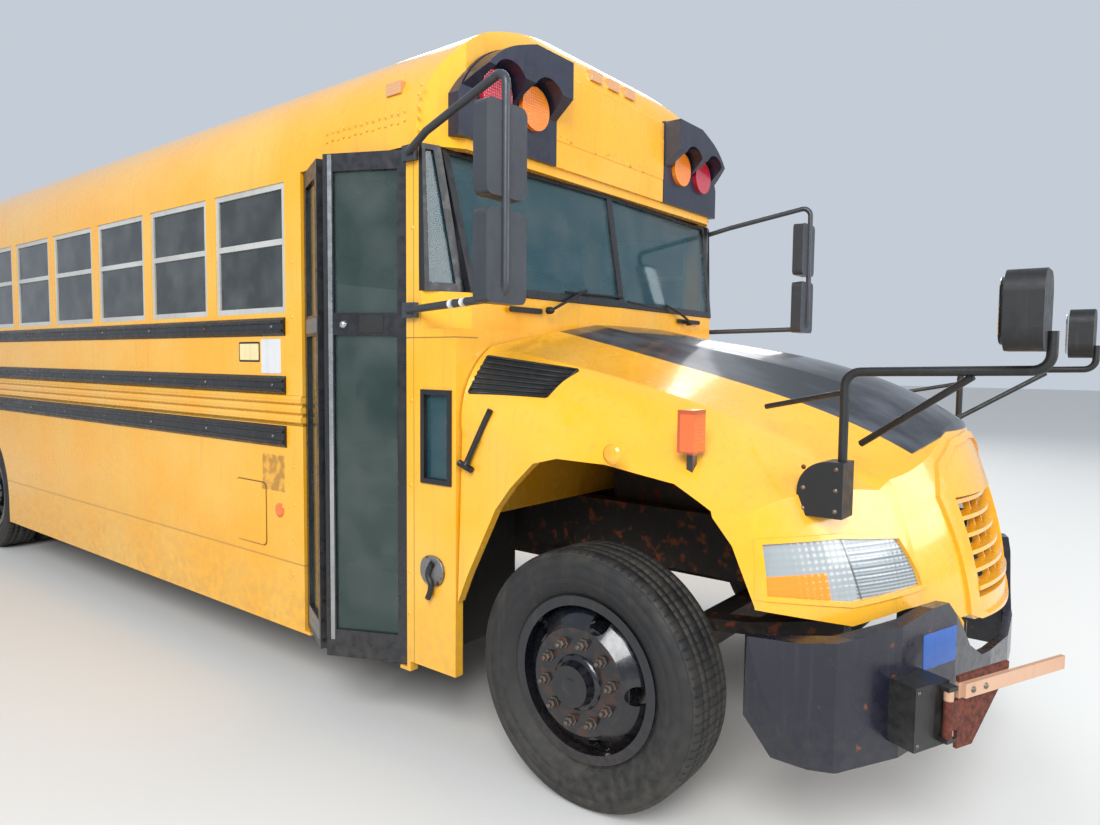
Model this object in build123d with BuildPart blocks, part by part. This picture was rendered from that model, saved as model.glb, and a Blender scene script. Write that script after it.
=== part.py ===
"""Full-size school bus with a tilting nose, in millimetres.

X points forward, Y to the bus's left and Z up. The origin is on the ground, on the
centreline, halfway along the bus. Most places along X are given from the front axle,
because every dimension of a truck chassis is laid out from it.
"""

import os
from math import cos, radians, sin, sqrt

from build123d import *

os.makedirs("parts", exist_ok=True)

# Overall length, from the crossing mirrors in front to the rear bumper
wheelbase = 6045
nose_reach = 1340
tail_reach = 2950
front_axle_x = (wheelbase + tail_reach - nose_reach) / 2
rear_axle_x = front_axle_x - wheelbase
tail_x = rear_axle_x - tail_reach


def ahead(distance):
    """X of a place that lies this far ahead of the front axle."""
    return front_axle_x + distance


# Body shell
half_width = 1219
wall = 40
skirt_z = 296
floor_z = 1090
floor_thickness = 40
sill_z = 1796
header_z = 2431
roof_top_z = 3100
roof_corner_radius = 500
roof_corner_z = 2470
rear_bumper_depth = 130
rear_wall_x = tail_x + rear_bumper_depth
inner_y = half_width - wall

# Entrance on the right, between two posts
door_front_x = ahead(-834)
door_rear_x = ahead(-1550)
door_bottom_z = 321
door_rest_angle = 25
pivot_inset = 27
pivot_y = -half_width + wall / 2

# Passenger windows
window_count = 10
window_pitch = 711
window_width = 621
first_window_x = ahead(-1680)
window_low_z = sill_z + 8
window_high_z = header_z - 24
sash_width = 28
sash_depth = 24
glass_thickness = 6

# Tyres and wheels
tyre_radius = 464
tyre_half_width = 127
tread_half_width = 104
rim_radius = 286
flange_radius = 298.5
rim_half_width = 96
front_wheel_y = 1048
rear_outer_y = 1064
rear_inner_y = 764
hub_z = tyre_radius
seat_gap = 0.3

# Chassis rails
rail_out_y = 432
rail_flange = 76
rail_web = 10
rail_height = 254
rail_top_z = 965
rail_low_z = rail_top_z - rail_height
rail_front_x = ahead(922)
rail_rear_x = tail_x + rear_bumper_depth + wall + 2


def keep(piece, node):
    """Labels a finished sub-part and writes it to a file of its own."""
    piece.part.label = node
    export_step(piece.part, f"parts/{node}.step")


def slab(x, y, z, mode=Mode.ADD):
    """A plain block between its lower and upper limits on each axis."""
    middle = ((x[0] + x[1]) / 2, (y[0] + y[1]) / 2, (z[0] + z[1]) / 2)
    with Locations(middle):
        Box(x[1] - x[0], y[1] - y[0], z[1] - z[0], mode=mode)


def flat_shape(plane, points):
    """A closed outline of straight lines on a plane."""
    with BuildSketch(plane) as shape:
        with BuildLine():
            Polyline(*points, close=True)
        make_face()
    return shape.sketch


def tube(points, radius, bend):
    """A round bar along straight runs joined by arcs."""
    with BuildPart() as bar:
        with BuildLine() as route:
            FilletPolyline(*points, radius=bend)
        with BuildSketch(Plane(route.line @ 0, z_dir=route.line % 0)):
            Circle(radius)
        sweep(path=route.line)
    return bar.part


def rod(start, end, radius):
    """A straight round bar between two points."""
    along = Vector(*end) - Vector(*start)
    with BuildPart() as bar:
        with BuildSketch(Plane(start, z_dir=along)):
            Circle(radius)
        extrude(amount=along.length)
    return bar.part


def rounded_box(centre, size, radius):
    """A block whose four edges along X are rounded."""
    with BuildPart() as block:
        with Locations(centre):
            Box(*size)
        fillet(block.edges().filter_by(Axis.X), radius=radius)
    return block.part


def turned(outline):
    """A solid turned about Z from a closed outline of (radius, height) points."""
    with BuildPart() as body:
        with BuildSketch(Plane.XZ):
            with BuildLine():
                Polyline(*outline, close=True)
            make_face()
        revolve(axis=Axis.Z)
    return body.part


# Chassis
crossmember_width = 70
crossmember_height = 150
crossmember_places = (860, -1620, -2900, -4200, -5500, -6700, -8300)

with BuildPart() as frame_rails:
    for side in (1, -1):
        with BuildSketch(Plane.YZ.offset(rail_rear_x)):
            with Locations((side * (rail_out_y - rail_flange / 2), rail_top_z - rail_height / 2)):
                Rectangle(rail_flange, rail_height)
            with Locations((side * (rail_out_y - rail_flange / 2 - rail_web), rail_top_z - rail_height / 2)):
                Rectangle(rail_flange, rail_height - 2 * rail_web, mode=Mode.SUBTRACT)
        extrude(amount=rail_front_x - rail_rear_x)
keep(frame_rails, "frame_rails")

with BuildPart() as crossmembers:
    for place in crossmember_places:
        slab(
            (ahead(place) - crossmember_width / 2, ahead(place) + crossmember_width / 2),
            (-rail_out_y + rail_web + seat_gap, rail_out_y - rail_web - seat_gap),
            (rail_low_z + rail_web + seat_gap, rail_low_z + rail_web + crossmember_height),
        )
keep(crossmembers, "crossmembers")

# Engine, one plain block between the rails
engine_half_width = 300
engine_rear_x = ahead(-430)
engine_front_x = ahead(620)
engine_low_z = 640
engine_top_z = 1420
engine_mount_x = (ahead(-300), ahead(380))
engine_mount_length = 90

with BuildPart() as engine:
    slab(
        (engine_rear_x, engine_front_x),
        (-engine_half_width, engine_half_width),
        (engine_low_z, engine_top_z),
    )
    chamfer(engine.edges().filter_by(Axis.X), length=60)
    for mount_x in engine_mount_x:
        slab(
            (mount_x, mount_x + engine_mount_length),
            (-rail_out_y + rail_web + seat_gap, rail_out_y - rail_web - seat_gap),
            (rail_top_z - rail_web - 60, rail_top_z - rail_web - seat_gap),
        )
keep(engine, "engine")

# Floor pan with cross sills and the step well of the entrance
front_wall_x = ahead(-593)
step_count = 3
step_low_z = 352
step_run = 205
step_plate = 20
step_rise = (floor_z - step_low_z) / step_count
step_inner_y = -inner_y + step_count * step_run
well_outer_y = -inner_y + 14
sill_places = [-950 - 711 * i for i in range(11)]
sill_beam = 60

with BuildPart() as floor:
    slab((rear_wall_x + wall, front_wall_x), (-inner_y, inner_y), (floor_z - floor_thickness, floor_z))
    slab((door_rear_x, door_front_x), (-inner_y, step_inner_y), (0, floor_z), mode=Mode.SUBTRACT)
    for place in sill_places:
        reach = step_inner_y + step_plate + 1 if door_rear_x < ahead(place) < door_front_x else -inner_y
        slab(
            (ahead(place) - sill_beam, ahead(place)),
            (reach, inner_y),
            (rail_top_z + seat_gap, floor_z - floor_thickness),
        )
keep(floor, "floor")

with BuildPart() as step_well:
    under_floor_z = floor_z - floor_thickness - seat_gap
    treads = [(well_outer_y, step_low_z)]
    for step in range(step_count):
        nosing_y = -inner_y + (step + 1) * step_run
        treads.append((nosing_y, step_low_z + step * step_rise))
        treads.append((nosing_y, min(step_low_z + (step + 1) * step_rise, under_floor_z)))
    underside = [(y + step_plate, z - step_plate) for y, z in reversed(treads)]
    underside[0] = (step_inner_y + step_plate, under_floor_z)
    underside[-1] = (well_outer_y, step_low_z - step_plate)
    extrude(flat_shape(Plane.YZ.offset(door_rear_x), treads + underside), amount=door_front_x - door_rear_x)
    cheek = [(well_outer_y, step_low_z - step_plate), (step_inner_y - seat_gap, step_low_z - step_plate)]
    cheek += [(step_inner_y - seat_gap, under_floor_z), (well_outer_y, under_floor_z)]
    for cheek_x in (door_rear_x - step_plate, door_front_x):
        extrude(flat_shape(Plane.YZ.offset(cheek_x), cheek), amount=step_plate)
keep(step_well, "step_well")

# Lower side panels with the rear wheel arches and three pressed ribs
arch_radius = 575
rib_height = 10
rib_low_z = 1280
rib_pitch = 46
rib_count = 3
panel_rear_x = rear_wall_x + wall

with BuildPart() as side_panels:
    for side, front_x in ((1, door_front_x), (-1, door_rear_x)):
        outer_y = side * half_width
        slab((panel_rear_x, front_x), sorted((outer_y - side * wall, outer_y)), (skirt_z, sill_z))
        for rib in range(rib_count):
            low_z = rib_low_z + rib * rib_pitch
            ridge = [(outer_y - side, low_z), (outer_y - side, low_z + rib_pitch)]
            ridge += [(outer_y + side * rib_height, low_z + rib_pitch * 0.7)]
            ridge += [(outer_y + side * rib_height, low_z + rib_pitch * 0.3)]
            extrude(flat_shape(Plane.YZ.offset(panel_rear_x), ridge), amount=front_x - panel_rear_x)
    with Locations((rear_axle_x, 0, hub_z)):
        Cylinder(arch_radius, 3 * half_width, rotation=(90, 0, 0), mode=Mode.SUBTRACT)
    slab(
        (rear_axle_x - arch_radius, rear_axle_x + arch_radius),
        (-2 * half_width, 2 * half_width),
        (0, hub_z),
        mode=Mode.SUBTRACT,
    )
    tab_front = door_rear_x + pivot_inset + 15
    slab((door_rear_x - 20, tab_front), (-half_width, -inner_y), (skirt_z, skirt_z + 14))
keep(side_panels, "side_panels")

# Window bands: one plate a side, with its windows cut
driver_window = (ahead(-1560), ahead(-880))
window_spans = [
    (first_window_x - i * window_pitch - window_width, first_window_x - i * window_pitch)
    for i in range(window_count)
]
sides_with_windows = (
    (1, door_front_x, window_spans + [driver_window]),
    (-1, door_rear_x, window_spans),
)

with BuildPart() as window_bands:
    for side, front_x, spans in sides_with_windows:
        across = sorted((side * inner_y, side * half_width))
        slab((panel_rear_x, front_x), across, (sill_z, header_z))
        for span in spans:
            slab(span, across, (window_low_z, window_high_z), mode=Mode.SUBTRACT)
keep(window_bands, "window_bands")

# Black sashes with a bar across each window, and their panes
sash_bar_z = 2136
sash_mid_y = half_width - 18

with BuildPart() as window_sashes:
    for side, front_x, spans in sides_with_windows:
        across = sorted((side * (sash_mid_y - sash_depth / 2), side * (sash_mid_y + sash_depth / 2)))
        for low_x, high_x in spans:
            slab((low_x, high_x), across, (window_low_z, window_high_z))
            glass_x = (low_x + sash_width, high_x - sash_width)
            slab(glass_x, across, (window_low_z + sash_width, sash_bar_z - sash_width / 2), mode=Mode.SUBTRACT)
            slab(glass_x, across, (sash_bar_z + sash_width / 2, window_high_z - sash_width), mode=Mode.SUBTRACT)
keep(window_sashes, "window_sashes")

with BuildPart() as window_glass:
    for side, front_x, spans in sides_with_windows:
        across = sorted((side * (sash_mid_y - glass_thickness / 2), side * (sash_mid_y + glass_thickness / 2)))
        for low_x, high_x in spans:
            glass_x = (low_x + sash_width, high_x - sash_width)
            slab(glass_x, across, (window_low_z + sash_width, sash_bar_z - sash_width / 2))
            slab(glass_x, across, (sash_bar_z + sash_width / 2, window_high_z - sash_width))
keep(window_glass, "window_glass")


def roof_section(inset, low_z):
    """Half-round section: upright sides, corner arcs and a flat crown arc that meet smoothly."""
    corner_y = half_width - roof_corner_radius
    rise = roof_top_z - roof_corner_z
    crown = (corner_y**2 + rise**2 - roof_corner_radius**2) / (2 * (rise - roof_corner_radius))
    crown_z = roof_top_z - crown
    lean = Vector(corner_y, roof_corner_z - crown_z).normalized()
    corner = Vector(corner_y, roof_corner_z)
    side = half_width - inset
    meet = Vector(0, crown_z) + lean * (crown - inset)
    halfway = corner + (lean + Vector(1, 0)).normalized() * (roof_corner_radius - inset)
    with BuildSketch(Plane.YZ) as section:
        with BuildLine():
            Line((-side, low_z), (side, low_z))
            Line((side, low_z), (side, roof_corner_z))
            ThreePointArc((side, roof_corner_z), (halfway.X, halfway.Y), (meet.X, meet.Y))
            ThreePointArc((meet.X, meet.Y), (0, roof_top_z - inset), (-meet.X, meet.Y))
            ThreePointArc((-meet.X, meet.Y), (-halfway.X, halfway.Y), (-side, roof_corner_z))
            Line((-side, roof_corner_z), (-side, low_z))
        make_face()
    return section.sketch


# Roof panels with two hatch openings on raised rims, and seams in line with the openings
cap_seam_x = ahead(-950)
cap_front_x = ahead(-670)
tail_cap_x = rear_wall_x + 260
hatch_places = (ahead(-3500), ahead(-7000))
hatch_opening = 300
rim_width = 30
rim_top_z = 3122
lid_overhang = 22
lid_reach = hatch_opening + rim_width + lid_overhang
hatch_barrel_radius = 12
hatch_barrel_half = 250
roof_wall = 40

with BuildPart() as roof:
    length = cap_seam_x - tail_cap_x
    extrude(Pos(tail_cap_x, 0, 0) * roof_section(0, header_z), amount=length)
    for place in hatch_places:
        slab(
            (place - hatch_opening - rim_width, place + hatch_opening + rim_width),
            (-hatch_opening - rim_width, hatch_opening + rim_width),
            (roof_top_z - 60, rim_top_z),
        )
        slab(
            (place + hatch_opening, place + lid_reach + hatch_barrel_radius),
            (-hatch_barrel_half, hatch_barrel_half),
            (roof_top_z - 60, rim_top_z),
        )
    extrude(
        Pos(tail_cap_x, 0, 0) * roof_section(roof_wall, header_z),
        amount=length,
        mode=Mode.SUBTRACT,
    )
    for place in hatch_places:
        slab(
            (place - hatch_opening, place + hatch_opening),
            (-hatch_opening, hatch_opening),
            (roof_top_z - 200, rim_top_z),
            mode=Mode.SUBTRACT,
        )
        for seam in (place - hatch_opening, place + hatch_opening):
            slab(
                (seam - seat_gap / 2, seam + seat_gap / 2),
                (-half_width, half_width),
                (header_z, rim_top_z),
                mode=Mode.SUBTRACT,
            )
keep(roof, "roof")

# Roof hatches, hinged on a barrel along their front edges
lid_thickness = 46

for place, node in zip(hatch_places, ("hatch_front", "hatch_rear")):
    with BuildPart() as hatch:
        slab(
            (place - lid_reach, place + lid_reach),
            (-lid_reach, lid_reach),
            (rim_top_z + seat_gap, rim_top_z + seat_gap + lid_thickness),
        )
        chamfer(hatch.faces().sort_by(Axis.Z)[-1].edges(), length=20)
        with Locations((place + lid_reach, 0, rim_top_z + seat_gap + hatch_barrel_radius)):
            Cylinder(hatch_barrel_radius, 2 * hatch_barrel_half, rotation=(90, 0, 0))
    keep(hatch, node)


def cap_form(inset, seam_x, face_x, low_z):
    """A roof end: the roof's section, rounded over in side view and at the corners in plan."""
    way = 1 if face_x > seam_x else -1
    front_x = face_x - way * inset
    round_over = 250
    corner_in = 170
    corner_back = 110
    with BuildPart() as form:
        extrude(
            Pos(min(seam_x, front_x), 0, 0) * roof_section(inset, low_z),
            amount=abs(front_x - seam_x),
        )
        with BuildSketch(Plane.XZ):
            with BuildLine():
                top = roof_top_z - inset
                shoulder = top - round_over + 30
                Line((seam_x, low_z - 1), (front_x, low_z - 1))
                Line((front_x, low_z - 1), (front_x, shoulder))
                bulge_x = front_x - way * round_over * 0.24
                ThreePointArc((front_x, shoulder), (bulge_x, top - 62), (front_x - way * round_over, top))
                Line((front_x - way * round_over, top), (seam_x, top))
                Line((seam_x, top), (seam_x, low_z - 1))
            make_face()
        extrude(amount=2 * half_width, both=True, mode=Mode.INTERSECT)
        side = half_width - inset
        plan = [(seam_x, -side), (front_x - way * corner_back, -side), (front_x, -side + corner_in)]
        plan += [(x, -y) for x, y in reversed(plan)]
        extrude(flat_shape(Plane.XY, plan), amount=2 * roof_top_z, mode=Mode.INTERSECT)
    return form.part


# Front roof cap with the raised, blank sign box
sign_half_width = 480
sign_face_x = ahead(-656)
sign_low_z = 2473
sign_top_z = 2926

with BuildPart() as front_cap:
    add(cap_form(0, cap_seam_x, cap_front_x, header_z))
    sign = [(cap_front_x - 60, sign_low_z), (sign_face_x, sign_low_z), (sign_face_x, sign_top_z - 30)]
    sign += [(sign_face_x - 30, sign_top_z), (cap_front_x - 60, sign_top_z)]
    extrude(flat_shape(Plane.XZ, sign), amount=sign_half_width, both=True)
    add(cap_form(roof_wall, cap_seam_x, cap_front_x, header_z), mode=Mode.SUBTRACT)
keep(front_cap, "front_cap")

# Rear wall with its rounded roof end, door opening and two windows
rear_door_half_width = 330
rear_door_low_z = floor_z - 10
rear_door_high_z = 2640
rear_glass = ((440, 1090), (1850, 2400))
rear_wall_low_z = 716
rear_hinge_z = (1250, 1800, 2450)
rear_hinge_y = -rear_door_half_width + 4
barrel_radius = 9
barrel_length = 110
socket_length = 30
plate_y = -720
plate_z = 985
plate_hole_spacing = 177.8
plate_hole_radius = 3.5

with BuildPart() as rear_wall:
    add(cap_form(0, tail_cap_x, rear_wall_x, header_z))
    add(cap_form(roof_wall, tail_cap_x, rear_wall_x, header_z), mode=Mode.SUBTRACT)
    slab((rear_wall_x, rear_wall_x + wall), (-half_width, half_width), (rear_wall_low_z, header_z))
    slab(
        (rear_wall_x - 1, rear_wall_x + wall + 60),
        (-rear_door_half_width, rear_door_half_width),
        (rear_door_low_z, rear_door_high_z),
        mode=Mode.SUBTRACT,
    )
    for side in (1, -1):
        slab(
            (rear_wall_x - 1, rear_wall_x + wall),
            sorted((side * rear_glass[0][0], side * rear_glass[0][1])),
            rear_glass[1],
            mode=Mode.SUBTRACT,
        )
        with Locations((rear_wall_x, plate_y + side * plate_hole_spacing / 2, plate_z)):
            Cylinder(plate_hole_radius, 3 * wall, rotation=(0, 90, 0), mode=Mode.SUBTRACT)
    for hinge_z in rear_hinge_z:
        low_z = hinge_z + barrel_length / 2 + seat_gap
        with Locations((rear_wall_x - 12, rear_hinge_y, low_z + socket_length / 2)):
            Cylinder(barrel_radius, socket_length)
        slab((rear_wall_x - 14, rear_wall_x), (rear_hinge_y - 60, rear_hinge_y), (low_z, low_z + socket_length))
keep(rear_wall, "rear_wall")

with BuildPart() as rear_windows:
    for side in (1, -1):
        slab(
            (rear_wall_x + 17, rear_wall_x + 17 + glass_thickness),
            sorted((side * rear_glass[0][0], side * rear_glass[0][1])),
            rear_glass[1],
        )
keep(rear_windows, "rear_windows")

# Rear emergency door, hinged on its right edge seen from behind
door_gap = 8
rear_door_plate = 34
rear_door_sill_z = 1830

with BuildPart() as rear_door:
    leaf_x = (rear_wall_x + 3, rear_wall_x + 3 + rear_door_plate)
    leaf_y = rear_door_half_width - door_gap
    slab(leaf_x, (-leaf_y, leaf_y), (rear_door_low_z + door_gap, rear_door_high_z - door_gap))
    for low_z, high_z in ((1220, 1720), (rear_door_sill_z, rear_door_high_z - 90)):
        slab(leaf_x, (-leaf_y + 80, leaf_y - 80), (low_z, high_z), mode=Mode.SUBTRACT)
    for hinge_z in rear_hinge_z:
        with Locations((rear_wall_x - 12, rear_hinge_y, hinge_z)):
            Cylinder(barrel_radius, barrel_length)
        slab((rear_wall_x - 14, rear_wall_x + 3), (rear_hinge_y, -leaf_y + 50), (hinge_z - 50, hinge_z + 50))
    with Locations((rear_wall_x - 30, leaf_y - 60, 1770)):
        Box(20, 150, 24)
    slab((rear_wall_x - 22, rear_wall_x + 3), (leaf_y - 60, leaf_y - 30), (1758, 1782))
keep(rear_door, "rear_door")

with BuildPart() as rear_door_glass:
    for low_z, high_z in ((1220, 1720), (rear_door_sill_z, rear_door_high_z - 90)):
        slab(
            (rear_wall_x + 16, rear_wall_x + 16 + glass_thickness),
            (-leaf_y + 80, leaf_y - 80),
            (low_z, high_z),
        )
keep(rear_door_glass, "rear_door_glass")

# Cowl: side panels from the door post forward, fire wall, deck and the belt under the windscreen
hood_rear_x = ahead(-545)
cowl_front_x = hood_rear_x - 8
cowl_low_z = 349
belt_low_z = 1690
belt_top_z = 1860
small_window = ((ahead(-745), ahead(-575)), (1100, 1472))
glass_base = (ahead(-617), ahead(-654))
belt_corner_y = 1045

with BuildPart() as cowl:
    for side in (1, -1):
        across = sorted((side * inner_y, side * half_width))
        slab((door_front_x, cowl_front_x), across, (cowl_low_z, belt_low_z + 20))
        slab(*[small_window[0], across, small_window[1]], mode=Mode.SUBTRACT)
        slab((door_front_x, door_front_x + 73), across, (cowl_low_z, header_z))
    slab((front_wall_x, cowl_front_x), (-inner_y, inner_y), (rail_top_z, belt_low_z + 20))
    belt = [(door_front_x + 73, half_width), (ahead(-745), half_width)]
    belt += [(glass_base[1] + 14, belt_corner_y), (glass_base[0] + 14, 0)]
    belt += [(x, -y) for x, y in reversed(belt[:-1])]
    inside = [(door_front_x + 72, inner_y - 16)]
    inside += [(glass_base[1] - wall, belt_corner_y - 20), (glass_base[0] - wall, 0)]
    inside += [(x, -y) for x, y in reversed(inside[:-1])]
    extrude(flat_shape(Plane.XY.offset(belt_low_z), belt), amount=belt_top_z - belt_low_z)
    extrude(
        flat_shape(Plane.XY.offset(belt_low_z), inside),
        amount=belt_top_z - belt_low_z,
        mode=Mode.SUBTRACT,
    )
    slab((ahead(-680), cowl_front_x), (-inner_y, inner_y), (belt_low_z, belt_low_z + 20))
    tab_rear = door_front_x - pivot_inset - 15
    slab((tab_rear, door_front_x + 20), (-half_width, -inner_y), (cowl_low_z - 42, cowl_low_z - 28))
    slab((door_front_x, door_front_x + 20), (-half_width, -inner_y), (cowl_low_z - 42, cowl_low_z))
keep(cowl, "cowl")

# Windscreen: two flat panes that lean back and meet in a shallow V, with quarter lights
glass_top_z = 2409
glass_top = (ahead(-698), ahead(-741))
pillar_base_y = 1024
pillar_top_y = 1087
divider_half = 22
frame_width = 34
frame_depth = 30


def quad_plane(corners):
    """The plane of a pane, from three of its corners, with X along its base."""
    first, second, third = (Vector(*corner) for corner in corners[:3])
    base = second - first
    return Plane(origin=first, x_dir=base, z_dir=base.cross(third - first))


def on_plane(plane, corners):
    """Corner points in a plane's own two coordinates."""
    local = [plane.to_local_coords(Vector(*corner)) for corner in corners]
    return [(point.X, point.Y) for point in local]


def grown(points, margin):
    """A four-sided outline moved outwards by a margin."""
    with BuildSketch() as shape:
        with BuildLine():
            Polyline(*points, close=True)
        make_face()
        offset(amount=margin, kind=Kind.INTERSECTION)
    return shape.sketch


# corners of each pane on the right: base inner, base outer, top outer, top inner
screen_pane = (
    (glass_base[0], -divider_half, belt_top_z + frame_width),
    (glass_base[1], -pillar_base_y, belt_top_z + frame_width),
    (glass_top[1], -pillar_top_y, glass_top_z),
    (glass_top[0], -divider_half, glass_top_z),
)
quarter_pane = (
    (ahead(-700), -1085, belt_top_z + frame_width),
    (ahead(-735), -1195, belt_top_z + frame_width),
    (ahead(-752), -1200, glass_top_z),
    (ahead(-765), -1160, glass_top_z),
)
panes = (screen_pane, quarter_pane)

with BuildPart() as windscreen_frame:
    for corners in panes:
        plane = quad_plane(corners)
        outline = on_plane(plane, corners)
        ring = grown(outline, frame_width) - grown(outline, 0.0001)
        extrude(plane * ring, amount=frame_depth / 2, both=True)
    slab(
        (door_front_x + 73 + seat_gap, ahead(-600)),
        (-half_width, 0),
        (belt_top_z + seat_gap, header_z - seat_gap),
        mode=Mode.INTERSECT,
    )
    mirror(about=Plane.XZ)
keep(windscreen_frame, "windscreen_frame")

with BuildPart() as windscreen:
    for corners in panes:
        plane = quad_plane(corners)
        extrude(flat_shape(plane, on_plane(plane, corners)), amount=glass_thickness / 2, both=True)
    slab(
        (small_window[0][0] + 20, small_window[0][1] - 20),
        (-half_width + 12, -half_width + 12 + glass_thickness),
        (small_window[1][0] + 20, small_window[1][1] - 20),
    )
    mirror(about=Plane.XZ)
keep(windscreen, "windscreen")

with BuildPart() as cowl_window_frames:
    for side in (1, -1):
        across = sorted((side * (half_width - 30), side * (half_width + 8)))
        slab(small_window[0], across, small_window[1])
        inner = [(small_window[0][0] + 20, small_window[0][1] - 20), across]
        inner += [(small_window[1][0] + 20, small_window[1][1] - 20)]
        slab(*inner, mode=Mode.SUBTRACT)
keep(cowl_window_frames, "cowl_window_frames")

# Dashboard with the steering column and wheel
dash_profile = ((-1010, 1480), (-1040, 1700), (-930, 1800), (-705, 1850), (-705, 1480))
dash_plan = ((-1100, -420), (-700, -420), (-700, 950), (-800, 1178.7), (-1100, 1178.7))
steering_y = 560
steering_centre = (ahead(-1130), steering_y, 1800)
steering_foot = (ahead(-960), steering_y, 1660)
steering_radius = 225
steering_grip = 16

steering_column = Vector(*steering_foot) - Vector(*steering_centre)
rim_outline = [
    (steering_radius + steering_grip * cos(radians(angle)), steering_grip * sin(radians(angle)))
    for angle in range(0, 360, 60)
]

with BuildPart() as steering_wheel:
    add(turned(rim_outline))
    Cylinder(45, 30)
    with PolarLocations(steering_radius / 2, 3):
        Box(steering_radius, 24, 12)

with BuildPart() as dashboard:
    extrude(flat_shape(Plane.XZ, [(ahead(x), z) for x, z in dash_profile]), amount=half_width, both=True)
    plan = flat_shape(Plane.XY, [(ahead(x), y) for x, y in dash_plan])
    extrude(plan, amount=header_z, mode=Mode.INTERSECT)
    add(rod(steering_centre, steering_foot, 24))
    add(Plane(steering_centre, z_dir=steering_column).location * steering_wheel.part)
keep(dashboard, "dashboard")

# Seats: a row of benches behind each window, and the driver's seat
seat_width = 960
cushion_length = 400
cushion_low_z = floor_z + 330
cushion_top_z = floor_z + 450
back_profile = [(-70, 330), (60, 330), (30, 1050), (-30, 1080), (-120, 1080), (-150, 1030)]
leg_width = 40
seat_rows = [first_window_x - 420 - i * window_pitch for i in range(window_count)]
driver_seat_x = ahead(-1560)
driver_seat_y = steering_y

with BuildPart() as seats:
    for row_x in seat_rows:
        for side in (1, -1):
            across = sorted((side * (inner_y - 15 - seat_width), side * (inner_y - 15)))
            slab((row_x + 62, row_x + 62 + cushion_length), across, (cushion_low_z, cushion_top_z))
            back = [(row_x + x, floor_z + z) for x, z in back_profile]
            extrude(flat_shape(Plane.XZ.offset(-across[1]), back), amount=seat_width)
    across = (driver_seat_y - 250, driver_seat_y + 250)
    slab((driver_seat_x + 62, driver_seat_x + 502), across, (cushion_low_z + 60, cushion_top_z + 60))
    back = [(driver_seat_x + x, floor_z + z) for x, z in back_profile]
    extrude(flat_shape(Plane.XZ.offset(-across[1]), back), amount=across[1] - across[0])
keep(seats, "seats")

with BuildPart() as seat_legs:
    for row_x in seat_rows:
        for side in (1, -1):
            for leg_y in (inner_y - 60, inner_y - seat_width + 60):
                across = sorted((side * leg_y, side * (leg_y - leg_width)))
                slab((row_x + 20, row_x + 360), across, (floor_z, cushion_low_z))
    slab(
        (driver_seat_x + 100, driver_seat_x + 420),
        (driver_seat_y - 150, driver_seat_y + 150),
        (floor_z, cushion_low_z + 60),
    )
    for stanchion in ((ahead(-1600), step_inner_y + 60), (ahead(-1600), -inner_y + 60)):
        with Locations((*stanchion, floor_z + 450)):
            Cylinder(16, 900)
    slab((ahead(-1612), ahead(-1588)), (-inner_y + 60, step_inner_y + 60), (floor_z + 80, floor_z + 860))
keep(seat_legs, "seat_legs")

# Rub rails along the sides, cut clear of the entrance
rail_rows = ((1694, 88), (1417, 89), (1165, 105))
rub_depth = 16

with BuildPart() as rub_rails:
    for side, front_x in ((1, door_front_x - 20), (-1, door_rear_x - 130)):
        for low_z, height in rail_rows:
            profile = [(half_width, low_z), (half_width, low_z + height)]
            profile += [(half_width + rub_depth, low_z + height - 14), (half_width + rub_depth, low_z + 14)]
            outline = [(side * y, z) for y, z in profile]
            extrude(flat_shape(Plane.YZ.offset(rear_wall_x + 20), outline), amount=front_x - rear_wall_x - 20)
keep(rub_rails, "rub_rails")


def leaf_plane(pivot_x, way, angle):
    """A door leaf's own plane: X runs from its pivot along the leaf, Z is up."""
    return Plane(
        origin=(pivot_x, pivot_y, 0),
        x_dir=(way * cos(radians(angle)), -sin(radians(angle)), 0),
        z_dir=(0, 0, 1),
    )


# Entrance doors: two leaves that swing outwards on pivots at the posts, left ajar
leaf_thickness = 30
leaf_top_z = header_z - 8
leaf_edge = 15
leaf_stile = 45
upper_light = (1778, 2351)
lower_light = (446, 1687)
leaf_meeting_gap = 6
front_leaf_width = 372
rear_leaf_width = door_front_x - door_rear_x - 2 * (pivot_inset - leaf_edge) - leaf_meeting_gap - front_leaf_width
pin_radius = 10
# columns: node name, pivot X, way that the leaf runs from its pivot, leaf width, top of the lower pivot tab
door_leaves = (
    ("door_front", door_front_x - pivot_inset, -1, front_leaf_width, cowl_low_z - 28),
    ("door_rear", door_rear_x + pivot_inset, 1, rear_leaf_width, skirt_z + 14),
)

for node, pivot_x, way, leaf_width, tab_top_z in door_leaves:
    plane = leaf_plane(pivot_x, way, door_rest_angle)
    depth = (-leaf_thickness / 2, leaf_thickness / 2)
    light_x = (leaf_stile - leaf_edge, leaf_width - leaf_edge - leaf_stile)
    with BuildPart(plane) as leaf:
        slab((-leaf_edge, leaf_width - leaf_edge), depth, (door_bottom_z + 8, leaf_top_z))
        for light_z in (upper_light, lower_light):
            slab(light_x, depth, light_z, mode=Mode.SUBTRACT)
        for pin_z in ((leaf_top_z, header_z - seat_gap), (tab_top_z + seat_gap, door_bottom_z + 8)):
            with Locations((0, 0, (pin_z[0] + pin_z[1]) / 2)):
                Cylinder(pin_radius, pin_z[1] - pin_z[0])
    keep(leaf, node)
    with BuildPart(plane) as leaf_glass:
        for light_z in (upper_light, lower_light):
            slab(light_x, (-glass_thickness / 2, glass_thickness / 2), light_z)
    keep(leaf_glass, node + "_glass")

# Hood form: an arched top that falls to the nose, trimmed by a bowed plan outline
hood_wall = 36
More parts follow.
